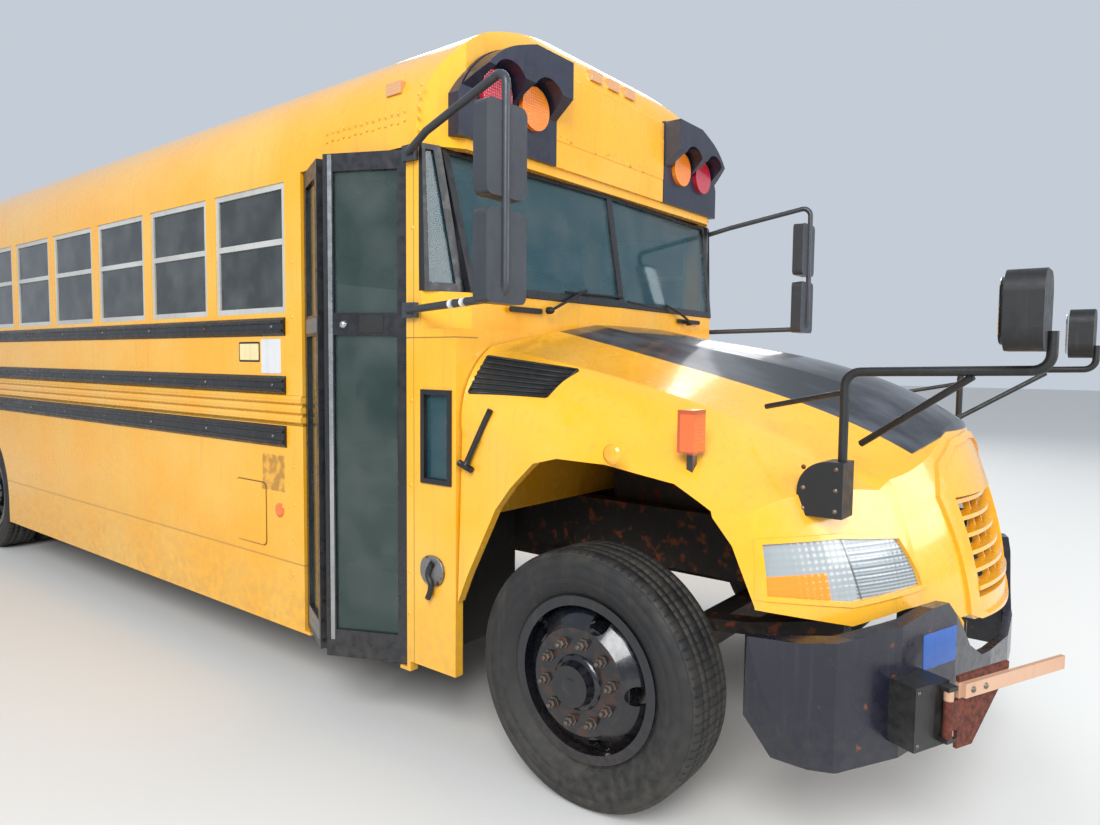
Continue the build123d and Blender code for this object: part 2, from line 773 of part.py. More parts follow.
# columns: distance ahead of the axle, then (y, z) of centre, crown, valley, crest, shoulder, lip and foot
hood_stations = (
    (-700, ((0, 1793), (300, 1788), (600, 1752), (1080, 1690), (1165, 1580), (1200, 1350), (1219, 500))),
    (-100, ((0, 1692), (290, 1672), (540, 1606), (900, 1545), (1085, 1415), (1185, 1180), (1219, 500))),
    (400, ((0, 1604), (250, 1566), (470, 1470), (760, 1385), (985, 1275), (1170, 1100), (1219, 500))),
    (800, ((0, 1465), (215, 1426), (400, 1325), (640, 1190), (860, 1135), (1120, 1040), (1219, 500))),
    (1180, ((0, 1165), (190, 1130), (360, 1040), (560, 960), (760, 930), (1000, 900), (1219, 500))),
)
plan_offsets = (0, 560, 850, 1090, 1222)
# columns: height, then the outline's distance ahead of the axle at each offset from the centreline
plan_levels = (
    (500, (1105, 950, 815, 645, 350)),
    (850, (1114, 961, 823, 645, 350)),
    (1330, (968, 790, 650, 500, 300)),
    (1900, (640, 460, 320, 170, -30)),
)
plan_rear_x = ahead(-800)
# half of the hood's lower edge, seen from the front
hood_lower_edge = (
    (1300, 860), (1100, 835), (850, 765), (780, 775), (640, 790), (470, 790),
    (400, 722), (340, 722), (300, 700), (0, 690),
)
front_arch = (
    (-600, 500), (-568, 594), (-500, 760), (-369, 1032), (-300, 1121), (-199, 1220), (-101, 1245),
    (84, 1238), (333, 1194), (475, 1126), (545, 1025), (615, 845), (680, 500),
)


def mirrored(point):
    """The same place on the other side of the centreline, for a (y, z) point."""
    return (-point[0], point[1])


def opposite(point):
    """The same place on the other side of the centreline, for an (x, y) point."""
    return (point[0], -point[1])


def hood_form(inset):
    """The hood's outer form, or the hollow inside it for an inset of its wall."""
    with BuildPart() as form:
        for place, half in hood_stations:
            narrowed = [(y - inset if y > 1000 else y * (1 - inset / half_width), z - inset) for y, z in half]
            centre, crown, valley, crest, shoulder, lip, foot = narrowed
            with BuildSketch(Plane.YZ.offset(ahead(place))):
                with BuildLine():
                    ThreePointArc(mirrored(crown), centre, crown)
                    ThreePointArc(crown, valley, crest)
                    ThreePointArc(crest, shoulder, lip)
                    Polyline(lip, foot, mirrored(foot), mirrored(lip))
                    ThreePointArc(mirrored(lip), mirrored(shoulder), mirrored(crest))
                    ThreePointArc(mirrored(crest), mirrored(valley), mirrored(crown))
                make_face()
        loft()
    with BuildPart() as plan:
        for height, reach in plan_levels:
            middle, cheek, lamp, corner, side = [(ahead(x - inset), y) for x, y in zip(reach, plan_offsets)]
            rear = (plan_rear_x, plan_offsets[-1])
            with BuildSketch(Plane.XY.offset(height)):
                with BuildLine():
                    ThreePointArc(opposite(cheek), middle, cheek)
                    ThreePointArc(cheek, lamp, corner)
                    Polyline(corner, side, rear, opposite(rear), opposite(side), opposite(corner))
                    ThreePointArc(opposite(corner), opposite(lamp), opposite(cheek))
                make_face()
        loft()
    return form.part & plan.part


def on_nose(outline, margin):
    """An outline seen from the front, grown by a margin and carried back through the nose."""
    with BuildPart() as prism:
        with BuildSketch(Plane.YZ.offset(ahead(560))):
            with BuildLine():
                Polyline(*outline, close=True)
            make_face()
            if margin > 0:
                offset(amount=margin, kind=Kind.INTERSECTION)
        extrude(amount=900)
    return prism.part


# corners of the grille's slotted opening and of the raised frame round it, seen from the front
grille_opening = ((262, 770), (300, 1120))
grille_outline = [(-y, z) for y, z in grille_opening] + [(y, z) for y, z in reversed(grille_opening)]
surround_half = ((0, 706), (210, 706), (320, 745), (372, 1130), (325, 1225), (190, 1292), (0, 1312))
surround_outline = list(surround_half) + [(-y, z) for y, z in reversed(surround_half[1:-1])]
surround_height = 12
surround_width = 26
# corners of the headlamp, seen from the front
headlamp_outline = ((1088, 881), (850, 841), (560, 859), (572, 905), (622, 1016), (850, 1036), (1078, 1034))
lamp_outlines = (headlamp_outline, [mirrored(point) for point in reversed(headlamp_outline)])
lamp_rim_width = 16
lamp_rim_height = 7
hood_pivot = (ahead(1050), 690)
hood_pin_radius = 12
hood_lug_y = (384, 400)
frame_lug_y = (356, 376)


def raised_frame(outline, width, height):
    """A raised band on the hood's skin, just inside an outline seen from the front."""
    with BuildPart() as band:
        add(on_nose(outline, width) - on_nose(outline, 0))
        add(hood_form(-height), mode=Mode.INTERSECT)
        add(hood_form(hood_wall / 2), mode=Mode.SUBTRACT)
    return band.part


with BuildPart() as hood:
    add(hood_form(0))
    add(raised_frame(surround_outline, surround_width, surround_height))
    for outline in lamp_outlines:
        add(raised_frame(outline, lamp_rim_width, lamp_rim_height))
    add(hood_form(hood_wall), mode=Mode.SUBTRACT)
    slab((ahead(-900), hood_rear_x), (-2000, 2000), (0, 3000), mode=Mode.SUBTRACT)
    edge = [(y, z) for y, z in hood_lower_edge] + [(-y, z) for y, z in reversed(hood_lower_edge[:-1])]
    edge += [(-1300, 400), (1300, 400)]
    extrude(flat_shape(Plane.YZ.offset(ahead(560)), edge), amount=900, mode=Mode.SUBTRACT)
    arch = [(ahead(x), z) for x, z in front_arch]
    extrude(flat_shape(Plane.XZ, arch), amount=2000, both=True, mode=Mode.SUBTRACT)
    slab((ahead(-600), ahead(700)), (-2000, 2000), (400, 620), mode=Mode.SUBTRACT)
    for outline in (grille_outline, *lamp_outlines):
        add(on_nose(outline, 0), mode=Mode.SUBTRACT)
    for side in (1, -1):
        lug = [(ahead(985), 800), (ahead(985), 730), (ahead(1035), 672), (ahead(1066), 672), (ahead(1066), 705)]
        lug += [(ahead(1009), 800)]
        lug_side = max(side * y for y in hood_lug_y) if side > 0 else -hood_lug_y[0]
        extrude(flat_shape(Plane.XZ.offset(-lug_side), lug), amount=hood_lug_y[1] - hood_lug_y[0])
        pin_middle = side * (frame_lug_y[0] + hood_lug_y[1]) / 2
        with Locations((hood_pivot[0], pin_middle, hood_pivot[1])):
            Cylinder(hood_pin_radius, hood_lug_y[1] - frame_lug_y[0], rotation=(90, 0, 0))
keep(hood, "hood")

# Grille: six bowed slats and their upright bars, across the nose opening
slat_count = 6
slat_height = 16
slat_depth = 52
slat_low_z = 796
slat_pitch = 59
slat_recess = 6
bar_places = (-190, -64, 64, 190)
bar_span = (790, 1108)
bar_depth = 12
grille_flare = (grille_opening[1][0] - grille_opening[0][0]) / (grille_opening[1][1] - grille_opening[0][1])


def nose_arc(height, inset):
    """The nose's bow at a height: its centre and its two ends, as far out as the plan's first offset."""
    low, high = plan_levels[1], plan_levels[2]
    share = (height - low[0]) / (high[0] - low[0])
    middle = low[1][0] + (high[1][0] - low[1][0]) * share - inset
    end = low[1][1] + (high[1][1] - low[1][1]) * share - inset
    return (ahead(middle), 0), (ahead(end), plan_offsets[1])


with BuildPart() as grille:
    for row in range(slat_count):
        low_z = slat_low_z + row * slat_pitch
        with BuildSketch(Plane.XY.offset(low_z)):
            with BuildLine():
                front_middle, front_end = nose_arc(low_z, slat_recess)
                back_middle, back_end = nose_arc(low_z, slat_recess + slat_depth)
                ThreePointArc(opposite(front_end), front_middle, front_end)
                Line(front_end, back_end)
                ThreePointArc(back_end, back_middle, opposite(back_end))
                Line(opposite(back_end), opposite(front_end))
            make_face()
        extrude(amount=slat_height)
    for bar_y in bar_places:
        lean = []
        for bar_z in bar_span:
            middle, end = nose_arc(bar_z, slat_recess + slat_depth)
            lean.append((middle[0] - (middle[0] - end[0]) * (bar_y / end[1]) ** 2, bar_z))
        lean += [(x + 2 * bar_depth, z) for x, z in reversed(lean)]
        extrude(flat_shape(Plane.XZ.offset(-bar_y - bar_depth / 2), lean), amount=bar_depth)
    margin = seat_gap
    inside = [(y - margin if y > 0 else y + margin, z) for y, z in grille_outline]
    add(on_nose(inside, 0), mode=Mode.INTERSECT)
keep(grille, "grille")

# Headlamps behind one slanted lens a side
with BuildPart() as headlamps:
    for outline in lamp_outlines:
        add(on_nose(outline, 0))
    add(hood_form(6), mode=Mode.INTERSECT)
    add(hood_form(hood_wall + 10), mode=Mode.SUBTRACT)
keep(headlamps, "headlamps")


# Crossing mirrors on the hood: a bracket, a bent arm, two stays and a round head a side
mirror_arm_y = 870
mirror_base = ((ahead(670), ahead(812)), (1112, 1286))
bracket_round = 95
arm_radius = 14
head_centre = (ahead(1260), 900, 1733)
head_size = (92, 200, 215)

with BuildPart() as hood_mirrors:
    slab(mirror_base[0], (-mirror_arm_y - 60, -mirror_arm_y + 45), mirror_base[1])
    fillet(hood_mirrors.edges().filter_by(Axis.Y).group_by(Axis.Z)[-1].sort_by(Axis.X)[0], radius=bracket_round)
    route = ((790, 1250), (790, 1563), (nose_reach - arm_radius, 1575), (nose_reach - arm_radius, 1680))
    add(tube([(ahead(x), -mirror_arm_y, z) for x, z in route], arm_radius, 45))
    add(rod((ahead(500), -780, 1440), (ahead(790), -mirror_arm_y, 1500), 9))
    add(rod((ahead(800), -720, 1330), (ahead(1140), -mirror_arm_y, 1555), 11))
    add(rounded_box((head_centre[0] + 10, -head_centre[1], head_centre[2]), head_size, 60))
    add(hood_form(-seat_gap), mode=Mode.SUBTRACT)
    mirror(about=Plane.XZ)
keep(hood_mirrors, "hood_mirrors")

# Front bumper: a bowed band, deeper at its corners, with a notch under the grille
bumper_plate = 30
bumper_inner_share = 0.955
# columns: distance ahead of the axle and offset from the centreline of the front face
bumper_face = ((1150, 0), (1130, 250), (1075, 560), (980, 850), (850, 1050), (630, 1187))
# half of the front view, from the top of the corner inwards and back along the bottom
bumper_top = (
    (1186, 780), (1108, 766), (1000, 774), (870, 794), (700, 826), (610, 828), (507, 726),
    (440, 650), (330, 590), (0, 575),
)
bumper_bottom = ((0, 440), (300, 440), (600, 415), (850, 388), (1040, 376), (1090, 384), (1147, 554), (1172, 672))

with BuildPart() as front_bumper:
    outer = [(ahead(x), y) for x, y in bumper_face]
    inner = [(x - bumper_plate, y * bumper_inner_share) for x, y in outer]
    band = [(x, -y) for x, y in reversed(outer[1:])] + outer
    band += [(x, y) for x, y in reversed(inner)] + [(x, -y) for x, y in inner[1:]]
    extrude(flat_shape(Plane.XY.offset(300), band), amount=600)
    view = list(bumper_top) + [mirrored(point) for point in reversed(bumper_top[:-1])]
    view += [mirrored(point) for point in reversed(bumper_bottom[1:])] + list(bumper_bottom)
    extrude(flat_shape(Plane.YZ.offset(ahead(500)), view), amount=900, mode=Mode.INTERSECT)
    for side in (1, -1):
        slab(
            (rail_front_x, ahead(1090)),
            sorted((side * (rail_out_y - rail_flange), side * rail_out_y)),
            (420, 570),
        )
        slab(
            (rail_front_x - 60, rail_front_x + 20),
            sorted((side * rail_out_y, side * (rail_out_y + 12))),
            (420, rail_low_z + 140),
        )
        slab(
            (rail_front_x, rail_front_x + 20),
            sorted((side * (rail_out_y - rail_flange), side * (rail_out_y + 12))),
            (420, rail_low_z + 140),
        )
        slab(
            (ahead(1030), ahead(1070)),
            sorted((side * frame_lug_y[0], side * frame_lug_y[1])),
            (560, hood_pivot[1] + 18),
        )
        with Locations((hood_pivot[0], side * sum(frame_lug_y) / 2, hood_pivot[1])):
            Cylinder(hood_pin_radius + seat_gap, 30, rotation=(90, 0, 0), mode=Mode.SUBTRACT)
keep(front_bumper, "front_bumper")

# Rear bumper, wrapped round the corners, with tow eyes below
bumper_low_z = 560
bumper_high_z = 800
tow_eye_radius = 22
tow_eye_y = 400
tow_eye_thickness = 30

with BuildPart() as rear_bumper:
    outer = [(tail_x, 0), (tail_x, 1100), (tail_x + 70, 1218), (tail_x + 130, 1237), (tail_x + 420, 1237)]
    inner = [(tail_x + 420, 1223), (tail_x + 125, 1223), (tail_x + 100, 1200), (tail_x + 32, 1085)]
    band = [(x, -y) for x, y in reversed(outer[1:])] + outer + inner
    band += [(x, -y) for x, y in reversed(inner)]
    extrude(flat_shape(Plane.XY.offset(bumper_low_z), band), amount=bumper_high_z - bumper_low_z)
    for side in (1, -1):
        slab(
            (tail_x + 25, rail_rear_x + 300),
            sorted((side * (rail_out_y - rail_flange), side * rail_out_y)),
            (bumper_low_z + 20, rail_low_z - seat_gap),
        )
        slab(
            (tail_x + 25, tail_x + 130),
            (side * tow_eye_y - tow_eye_thickness / 2, side * tow_eye_y + tow_eye_thickness / 2),
            (440, bumper_low_z + 30),
        )
        with Locations((tail_x + 72, side * tow_eye_y, 490)):
            Cylinder(tow_eye_radius, 60, rotation=(90, 0, 0), mode=Mode.SUBTRACT)
keep(rear_bumper, "rear_bumper")

# Axles with their leaf springs
kingpin_y = 850
kingpin_radius = 20
spindle_radius = 36
boss_radius = 50
pin_clearance = 6
spring_y = 425
spring_half_width = 45
front_spring_half = 640
rear_spring_half = 700
beam_low_z = 330


def spring(axle_x, side, reach, seat_z, eye_z, thickness):
    """A bowed leaf pack with a bracket at each end, under one rail."""
    across = (side * spring_y - spring_half_width, side * spring_y + spring_half_width)
    bow = [(axle_x - reach, eye_z), (axle_x - reach / 2, (eye_z + seat_z) / 2 - 20), (axle_x, seat_z)]
    bow += [(axle_x + reach / 2, (eye_z + seat_z) / 2 - 20), (axle_x + reach, eye_z)]
    lower = [(x, z - thickness) for x, z in reversed(bow)]
    with BuildPart() as pack:
        extrude(
            flat_shape(Plane.XZ.offset(-across[1]), bow + lower),
            amount=across[1] - across[0],
        )
        for end in (-1, 1):
            slab(
                (axle_x + end * reach - 50, axle_x + end * reach + 50),
                across,
                (eye_z - thickness, rail_low_z),
            )
    return pack.part


with BuildPart() as front_axle:
    slab((front_axle_x - 55, front_axle_x + 55), (-640, 640), (beam_low_z, beam_low_z + 110))
    for side in (1, -1):
        rise = [(side * 640, beam_low_z), (side * 640, beam_low_z + 110)]
        rise += [(side * (kingpin_y - 50), hub_z + 50), (side * kingpin_y, hub_z + 50)]
        rise += [(side * kingpin_y, hub_z - 50), (side * (kingpin_y - 50), hub_z - 60)]
        extrude(flat_shape(Plane.YZ.offset(front_axle_x - 40), rise), amount=80)
        with Locations((front_axle_x, side * kingpin_y, hub_z)):
            Cylinder(boss_radius, 100)
            Cylinder(kingpin_radius + seat_gap, 140, mode=Mode.SUBTRACT)
        slab(
            (front_axle_x - 60, front_axle_x + 60),
            sorted((side * (spring_y - 50), side * (spring_y + 50))),
            (beam_low_z + 100, beam_low_z + 170),
        )
        add(spring(front_axle_x, side, front_spring_half, beam_low_z + 200, 640, 50))
keep(front_axle, "front_axle")

with BuildPart() as rear_axle:
    with Locations((rear_axle_x, 0, hub_z)):
        Cylinder(80, 2 * 590, rotation=(90, 0, 0))
        Cylinder(spindle_radius, 2 * 915, rotation=(90, 0, 0))
    housing = turned(((0, -190), (90, -170), (205, -60), (205, 60), (90, 170), (0, 190)))
    add(Pos(rear_axle_x, 0, hub_z) * Rot(90, 0, 0) * housing)
    for side in (1, -1):
        slab(
            (rear_axle_x - 70, rear_axle_x + 70),
            sorted((side * (spring_y - 50), side * (spring_y + 50))),
            (hub_z, hub_z + 110),
        )
        add(spring(rear_axle_x, side, rear_spring_half, hub_z + 150, 640, 60))
    add(rod((rear_axle_x + 150, 0, hub_z + 20), (ahead(-700), 0, 640), 50))
    slab((ahead(-1500), ahead(-500)), (-160, 160), (560, 860))
keep(rear_axle, "rear_axle")

# Steering knuckles, each with its arm, and the tie rod behind the axle
knuckle_reach = 72
knuckle_plate = 14
steer_arm_x = -170
spindle_end_y = 1040
ear_half_length = 48
ear_spans = ((hub_z - 110, hub_z - 60 - pin_clearance), (hub_z + 50 + pin_clearance, hub_z + 100))

for side, node in ((-1, "knuckle_right"), (1, "knuckle_left")):
    face_y = (side * (kingpin_y + knuckle_reach - knuckle_plate), side * (kingpin_y + knuckle_reach))
    with BuildPart() as knuckle:
        for ear_span in ear_spans:
            with Locations((front_axle_x, side * kingpin_y, sum(ear_span) / 2)):
                Cylinder(ear_half_length, ear_span[1] - ear_span[0])
            slab(
                (front_axle_x - 40, front_axle_x + 40),
                sorted((side * kingpin_y, face_y[1])),
                ear_span,
            )
        with Locations((front_axle_x, side * kingpin_y, hub_z)):
            Cylinder(kingpin_radius, 160)
        slab(
            (front_axle_x - ear_half_length, front_axle_x + ear_half_length),
            sorted(face_y),
            (ear_spans[0][0], ear_spans[1][1]),
        )
        add(rod((front_axle_x, face_y[0], hub_z), (front_axle_x, side * spindle_end_y, hub_z), spindle_radius))
        arm_x = (front_axle_x + steer_arm_x - 25, front_axle_x - 30)
        slab(arm_x, (side * kingpin_y - 25, side * kingpin_y + 25), (ear_spans[0][0], ear_spans[0][0] + 30))
    keep(knuckle, node)

rod_eye_height = 44
with BuildPart() as tie_rod:
    rod_x = front_axle_x + steer_arm_x
    rod_low = ear_spans[0][0] - rod_eye_height
    for side in (1, -1):
        with Locations((rod_x, side * kingpin_y, ear_spans[0][0] - rod_eye_height / 2)):
            Cylinder(20, rod_eye_height)
    add(rod((rod_x, -kingpin_y, rod_low), (rod_x, kingpin_y, rod_low), 18))
keep(tie_rod, "tie_rod")


# columns: radius and half width of a tyre's flat-sided outline, from its bead out to its tread
tyre_outline = ((303, 84), (372, tyre_half_width - 2), (436, tyre_half_width - 7), (tyre_radius, 92))
tyre_sides = 48
bead_half_width = 84


def tyre_ring(centre_y):
    """One tyre of flat facets: tread, two slanted walls a side and a bore that fits the rim."""
    half_turn = 180 / tyre_sides
    with BuildPart() as ring:
        rings = [(radius, -reach) for radius, reach in tyre_outline]
        rings += [(radius, reach) for radius, reach in reversed(tyre_outline)]
        for radius, height in rings:
            with BuildSketch(Plane.XY.offset(height)):
                RegularPolygon(radius, tyre_sides)
        loft(ruled=True)
        with BuildSketch(Plane.XY.offset(-bead_half_width)):
            RegularPolygon((rim_radius + seat_gap) / cos(radians(half_turn)), tyre_sides)
        extrude(amount=2 * bead_half_width, mode=Mode.SUBTRACT)
    return Pos(0, centre_y, hub_z) * Rot(90, 0, 0) * Rot(0, 0, half_turn) * ring.part


def wheel_form(centre_y, side, face_out, dish):
    """A disc wheel turned in one piece: rim, flanges and a dished disc, with five hand holes."""
    flange_in = bead_half_width + seat_gap
    barrel = rim_radius - 22
    outline = [
        (flange_radius, -rim_half_width), (flange_radius, -flange_in), (rim_radius, -flange_in),
        (rim_radius, flange_in), (flange_radius, flange_in), (flange_radius, rim_half_width),
        (barrel, rim_half_width), (barrel, face_out - dish),
        (235, face_out - dish * 0.55), (190, face_out), (0, face_out), (0, face_out - 16),
        (180, face_out - 16), (225, face_out - dish * 0.55 - 22), (barrel, face_out - dish - 20),
        (barrel, -rim_half_width),
    ]
    with BuildPart() as wheel:
        add(turned(outline))
        with PolarLocations(226, 5):
            Cylinder(34, 400, mode=Mode.SUBTRACT)
    plane = Plane((0, centre_y, hub_z), x_dir=(1, 0, 0), z_dir=(0, side, 0))
    return plane.location * wheel.part


# Front wheels with hub, and twin rear wheels with hub and drum
front_face_out = 150
hub_radius = 85

for side, node in ((-1, "front_right"), (1, "front_left")):
    with BuildPart() as wheel:
        add(wheel_form(side * front_wheel_y, side, front_face_out - 30, 70))
        with BuildSketch(Plane.XZ.offset(-side * (front_wheel_y + front_face_out - 31))) as hub_face:
            with Locations((0, hub_z)):
                Circle(hub_radius)
        extrude(amount=-side * 50, taper=14)
        with BuildSketch(Plane.XZ.offset(-side * (kingpin_y + knuckle_reach + 8))) as drum_face:
            with Locations((0, hub_z)):
                Circle(205)
                Circle(spindle_radius + seat_gap, mode=Mode.SUBTRACT)
        extrude(amount=-side * (front_wheel_y + front_face_out - 46 - kingpin_y - knuckle_reach - 8))
    placed = Pos(front_axle_x, 0, 0) * wheel.part
    placed.label = "wheel_" + node
    export_step(placed, f"parts/wheel_{node}.step")
    tyre = Pos(front_axle_x, 0, 0) * tyre_ring(side * front_wheel_y)
    tyre.label = "tyre_" + node
    export_step(tyre, f"parts/tyre_{node}.step")

for side, node in ((-1, "rear_right"), (1, "rear_left")):
    with BuildPart() as wheel:
        add(wheel_form(side * rear_outer_y, side, -64, -60))
        add(wheel_form(side * rear_inner_y, -side, -rear_outer_y + rear_inner_y + 80 + 64, -96))
        with BuildSketch(Plane.XZ.offset(-side * 600)):
            with Locations((0, hub_z)):
                Circle(205)
                Circle(spindle_radius + seat_gap, mode=Mode.SUBTRACT)
        extrude(amount=-side * (rear_outer_y - 64 - 600))
        with BuildSketch(Plane.XZ.offset(-side * (rear_outer_y - 65))):
            with Locations((0, hub_z)):
                Circle(105)
        extrude(amount=-side * 110, taper=6)
    placed = Pos(rear_axle_x, 0, 0) * wheel.part
    placed.label = "wheels_" + node
    export_step(placed, f"parts/wheels_{node}.step")
    tyres = Pos(rear_axle_x, 0, 0) * (tyre_ring(side * rear_outer_y) + tyre_ring(side * rear_inner_y))
    tyres.label = "tyres_" + node
    export_step(tyres, f"parts/tyres_{node}.step")

# Fuel tank, exhaust and mud flaps
tank_x = (ahead(-4300), ahead(-3100))
tank_y = (rail_out_y + 20, 1080)
tank_z = (430, 900)
strap_width = 60

with BuildPart() as fuel_tank:
    slab(tank_x, tank_y, tank_z)
    fillet(fuel_tank.edges().filter_by(Axis.X), radius=70)
    for strap_x in (tank_x[0] + 200, tank_x[1] - 260):
        slab((strap_x, strap_x + strap_width), (rail_out_y, tank_y[1] + 6), (rail_top_z - 60, rail_top_z - 50))
        slab((strap_x, strap_x + strap_width), (tank_y[1] - 80, tank_y[1] - 60), (tank_z[1] - 10, rail_top_z - 50))
        slab((strap_x, strap_x + strap_width), (rail_out_y, tank_y[0] + 90), (tank_z[1] - 60, rail_top_z - 50))
keep(fuel_tank, "fuel_tank")

muffler_radius = 110
pipe_radius = 45
pipe_y = -620
pipe_z = 640

with BuildPart() as exhaust:
    add(rod((ahead(-3500), pipe_y, pipe_z), (ahead(-2300), pipe_y, pipe_z), muffler_radius))
    front_pipe = [(ahead(-2310), pipe_y, pipe_z), (ahead(-1900), pipe_y, pipe_z)]
    front_pipe += [(ahead(-1700), -380, 640), (ahead(-1550), -300, 640)]
    add(tube(front_pipe, pipe_radius, 90))
    rear_pipe = [(ahead(-3490), pipe_y, pipe_z), (ahead(-4700), pipe_y, pipe_z), (ahead(-5000), -530, 880)]
    rear_pipe += [(ahead(-7000), -530, 880), (ahead(-7400), -600, 640), (tail_x + 160, -600, 640)]
    add(tube(rear_pipe, pipe_radius, 110))
    for hanger_x in (ahead(-2900), ahead(-6500), ahead(-8200)):
        slab((hanger_x - 20, hanger_x + 20), (-610, -rail_out_y), (rail_top_z - 120, rail_top_z - 100))
        slab((hanger_x - 20, hanger_x + 20), (-610, -590), (pipe_z, rail_top_z - 100))
keep(exhaust, "exhaust")

flap_x = rear_axle_x - 690
with BuildPart() as mud_flaps:
    for side in (1, -1):
        slab((flap_x, flap_x + 10), sorted((side * 620, side * 1175)), (300, floor_z - floor_thickness))
keep(mud_flaps, "mud_flaps")

# Side mirrors on both sides: a C-shaped arm with two stacked heads
mirror_top = (ahead(-797), -1242, 2396)
mirror_foot = (ahead(-797), -1242, 1784)
mirror_run = (ahead(-157), -1386)
mirror_top_bend_z = 2535
mirror_head_size = (60, 200, 306)
mirror_head_lows = (1776, 2122)

with BuildPart() as side_mirrors:
    route = [mirror_top, (ahead(-640), -1290, 2440), (*mirror_run, mirror_top_bend_z)]
    route += [(*mirror_run, 1800), mirror_foot]
    add(tube(route, 15, 45))
    for mount in (mirror_top, mirror_foot):
        slab(
            (mount[0] - 35, mount[0] + 35),
            (-half_width - 25, -half_width - seat_gap),
            (mount[2] - 30, mount[2] + 30),
        )
    for low_z in mirror_head_lows:
        middle_z = low_z + mirror_head_size[2] / 2
        add(rounded_box((mirror_run[0] - 32, mirror_run[1] + 10, middle_z), mirror_head_size, 28))
    mirror(about=Plane.XZ)
keep(side_mirrors, "side_mirrors")

# Warning lamp housings at both roof ends, with scalloped visors, and the arm boxes
pod_front = (ahead(-730), ahead(-652))
pod_rear = (rear_wall_x - 20, rear_wall_x + 50)
pod_y = (484, 1110)
pod_z = (sign_low_z, 2912)
pod_inset = 74
visor_depth = 96
visor_low_z = 2668
visor_bore = 114
amber_y = 657
red_y = 906
warning_z = 2680


def pod_form(side, inset):
    """The outline of a lamp housing, seen from the front, under the roof's own curve."""
    with BuildSketch(Plane.YZ) as outline:
        with Locations((side * (pod_y[0] + pod_y[1]) / 2, (pod_z[0] + pod_z[1]) / 2)):
            Rectangle(pod_y[1] - pod_y[0] - 2 * inset, pod_z[1] - pod_z[0] - 2 * inset)
    return outline.sketch & roof_section(pod_inset + inset, skirt_z)


with BuildPart() as lamp_housings:
    for span, way in ((pod_front, 1), (pod_rear, -1)):
        face = span[1] if way > 0 else span[0]
        for side in (1, -1):
            extrude(Pos(span[0], 0, 0) * pod_form(side, 0), amount=span[1] - span[0])
            with BuildPart(mode=Mode.PRIVATE) as visor:
                extrude(Pos(face - way, 0, 0) * pod_form(side, 4), amount=way * (visor_depth + 1))
                slope = [(face - 2 * way, visor_low_z), (face + 2 * way * visor_depth, visor_low_z + 160)]
                slope += [(face + 2 * way * visor_depth, pod_z[0] - 1), (face - 2 * way, pod_z[0] - 1)]
                extrude(flat_shape(Plane.XZ, slope), amount=half_width, both=True, mode=Mode.SUBTRACT)
                for lamp_y in (amber_y, red_y):
                    with Locations((face, side * lamp_y, warning_z)):
                        Cylinder(visor_bore, 3 * visor_depth, rotation=(0, 90, 0), mode=Mode.SUBTRACT)
            add(visor.part)
    for form in ((cap_seam_x, cap_front_x), (tail_cap_x, rear_wall_x)):
        add(cap_form(-seat_gap, *form, header_z), mode=Mode.SUBTRACT)
keep(lamp_housings, "lamp_housings")

warning_radius = 92
warning_depth = 22
brake_y = 980


def lens(centre, way, radius, depth):
    """A round lens that stands out along X, with a softened rim."""
    with BuildPart() as disc:
        with BuildSketch(Plane(centre, z_dir=(way, 0, 0))):
            Circle(radius)
        extrude(amount=depth)
    return disc.part


with BuildPart() as red_lamps:
    for side in (1, -1):
        add(lens((pod_front[1], side * red_y, warning_z), 1, warning_radius, warning_depth))
        add(lens((pod_rear[0], side * red_y, warning_z), -1, warning_radius, warning_depth))
        add(lens((rear_wall_x, side * brake_y, 1620), -1, 92, 24))
        add(lens((rear_wall_x, side * brake_y, 1240), -1, 55, 20))
keep(red_lamps, "red_lamps")

marker_places = (-150, 0, 150)
with BuildPart() as amber_lamps:
    for side in (1, -1):
        add(lens((pod_front[1], side * amber_y, warning_z), 1, warning_radius, warning_depth))
        add(lens((pod_rear[0], side * amber_y, warning_z), -1, warning_radius, warning_depth))
        add(lens((rear_wall_x, side * brake_y, 1420), -1, 92, 24))
    for marker_y in marker_places:
        slab((cap_front_x - 90, cap_front_x + 6), (marker_y - 45, marker_y + 45), (2944, 2992))
    for side in (1, -1):
        slab((ahead(-990), ahead(-900)), sorted((side * 1120, side * 1190)), (2660, 2710))
    add(cap_form(-seat_gap, cap_seam_x, cap_front_x, header_z), mode=Mode.SUBTRACT)
    roof_outline = Pos(tail_cap_x, 0, 0) * roof_section(-seat_gap, header_z)
    extrude(roof_outline, amount=cap_seam_x - tail_cap_x, mode=Mode.SUBTRACT)
keep(amber_lamps, "amber_lamps")

# Side marker on the hood, on its bracket
with BuildPart() as hood_markers:
    for side in (1, -1):
        slab((ahead(330), ahead(390)), sorted((side * 1010, side * 1090)), (1295, 1434))
        slab((ahead(350), ahead(372)), sorted((side * 1030, side * 1060)), (1230, 1296))
    add(hood_form(-seat_gap), mode=Mode.SUBTRACT)
keep(hood_markers, "hood_markers")

# Stop arm: a blank octagon folded against the left side, and its drive box
stop_hinge = (ahead(-1820), half_width + 34)
stop_centre_z = 1560
stop_radius = 225
stop_box_depth = 60

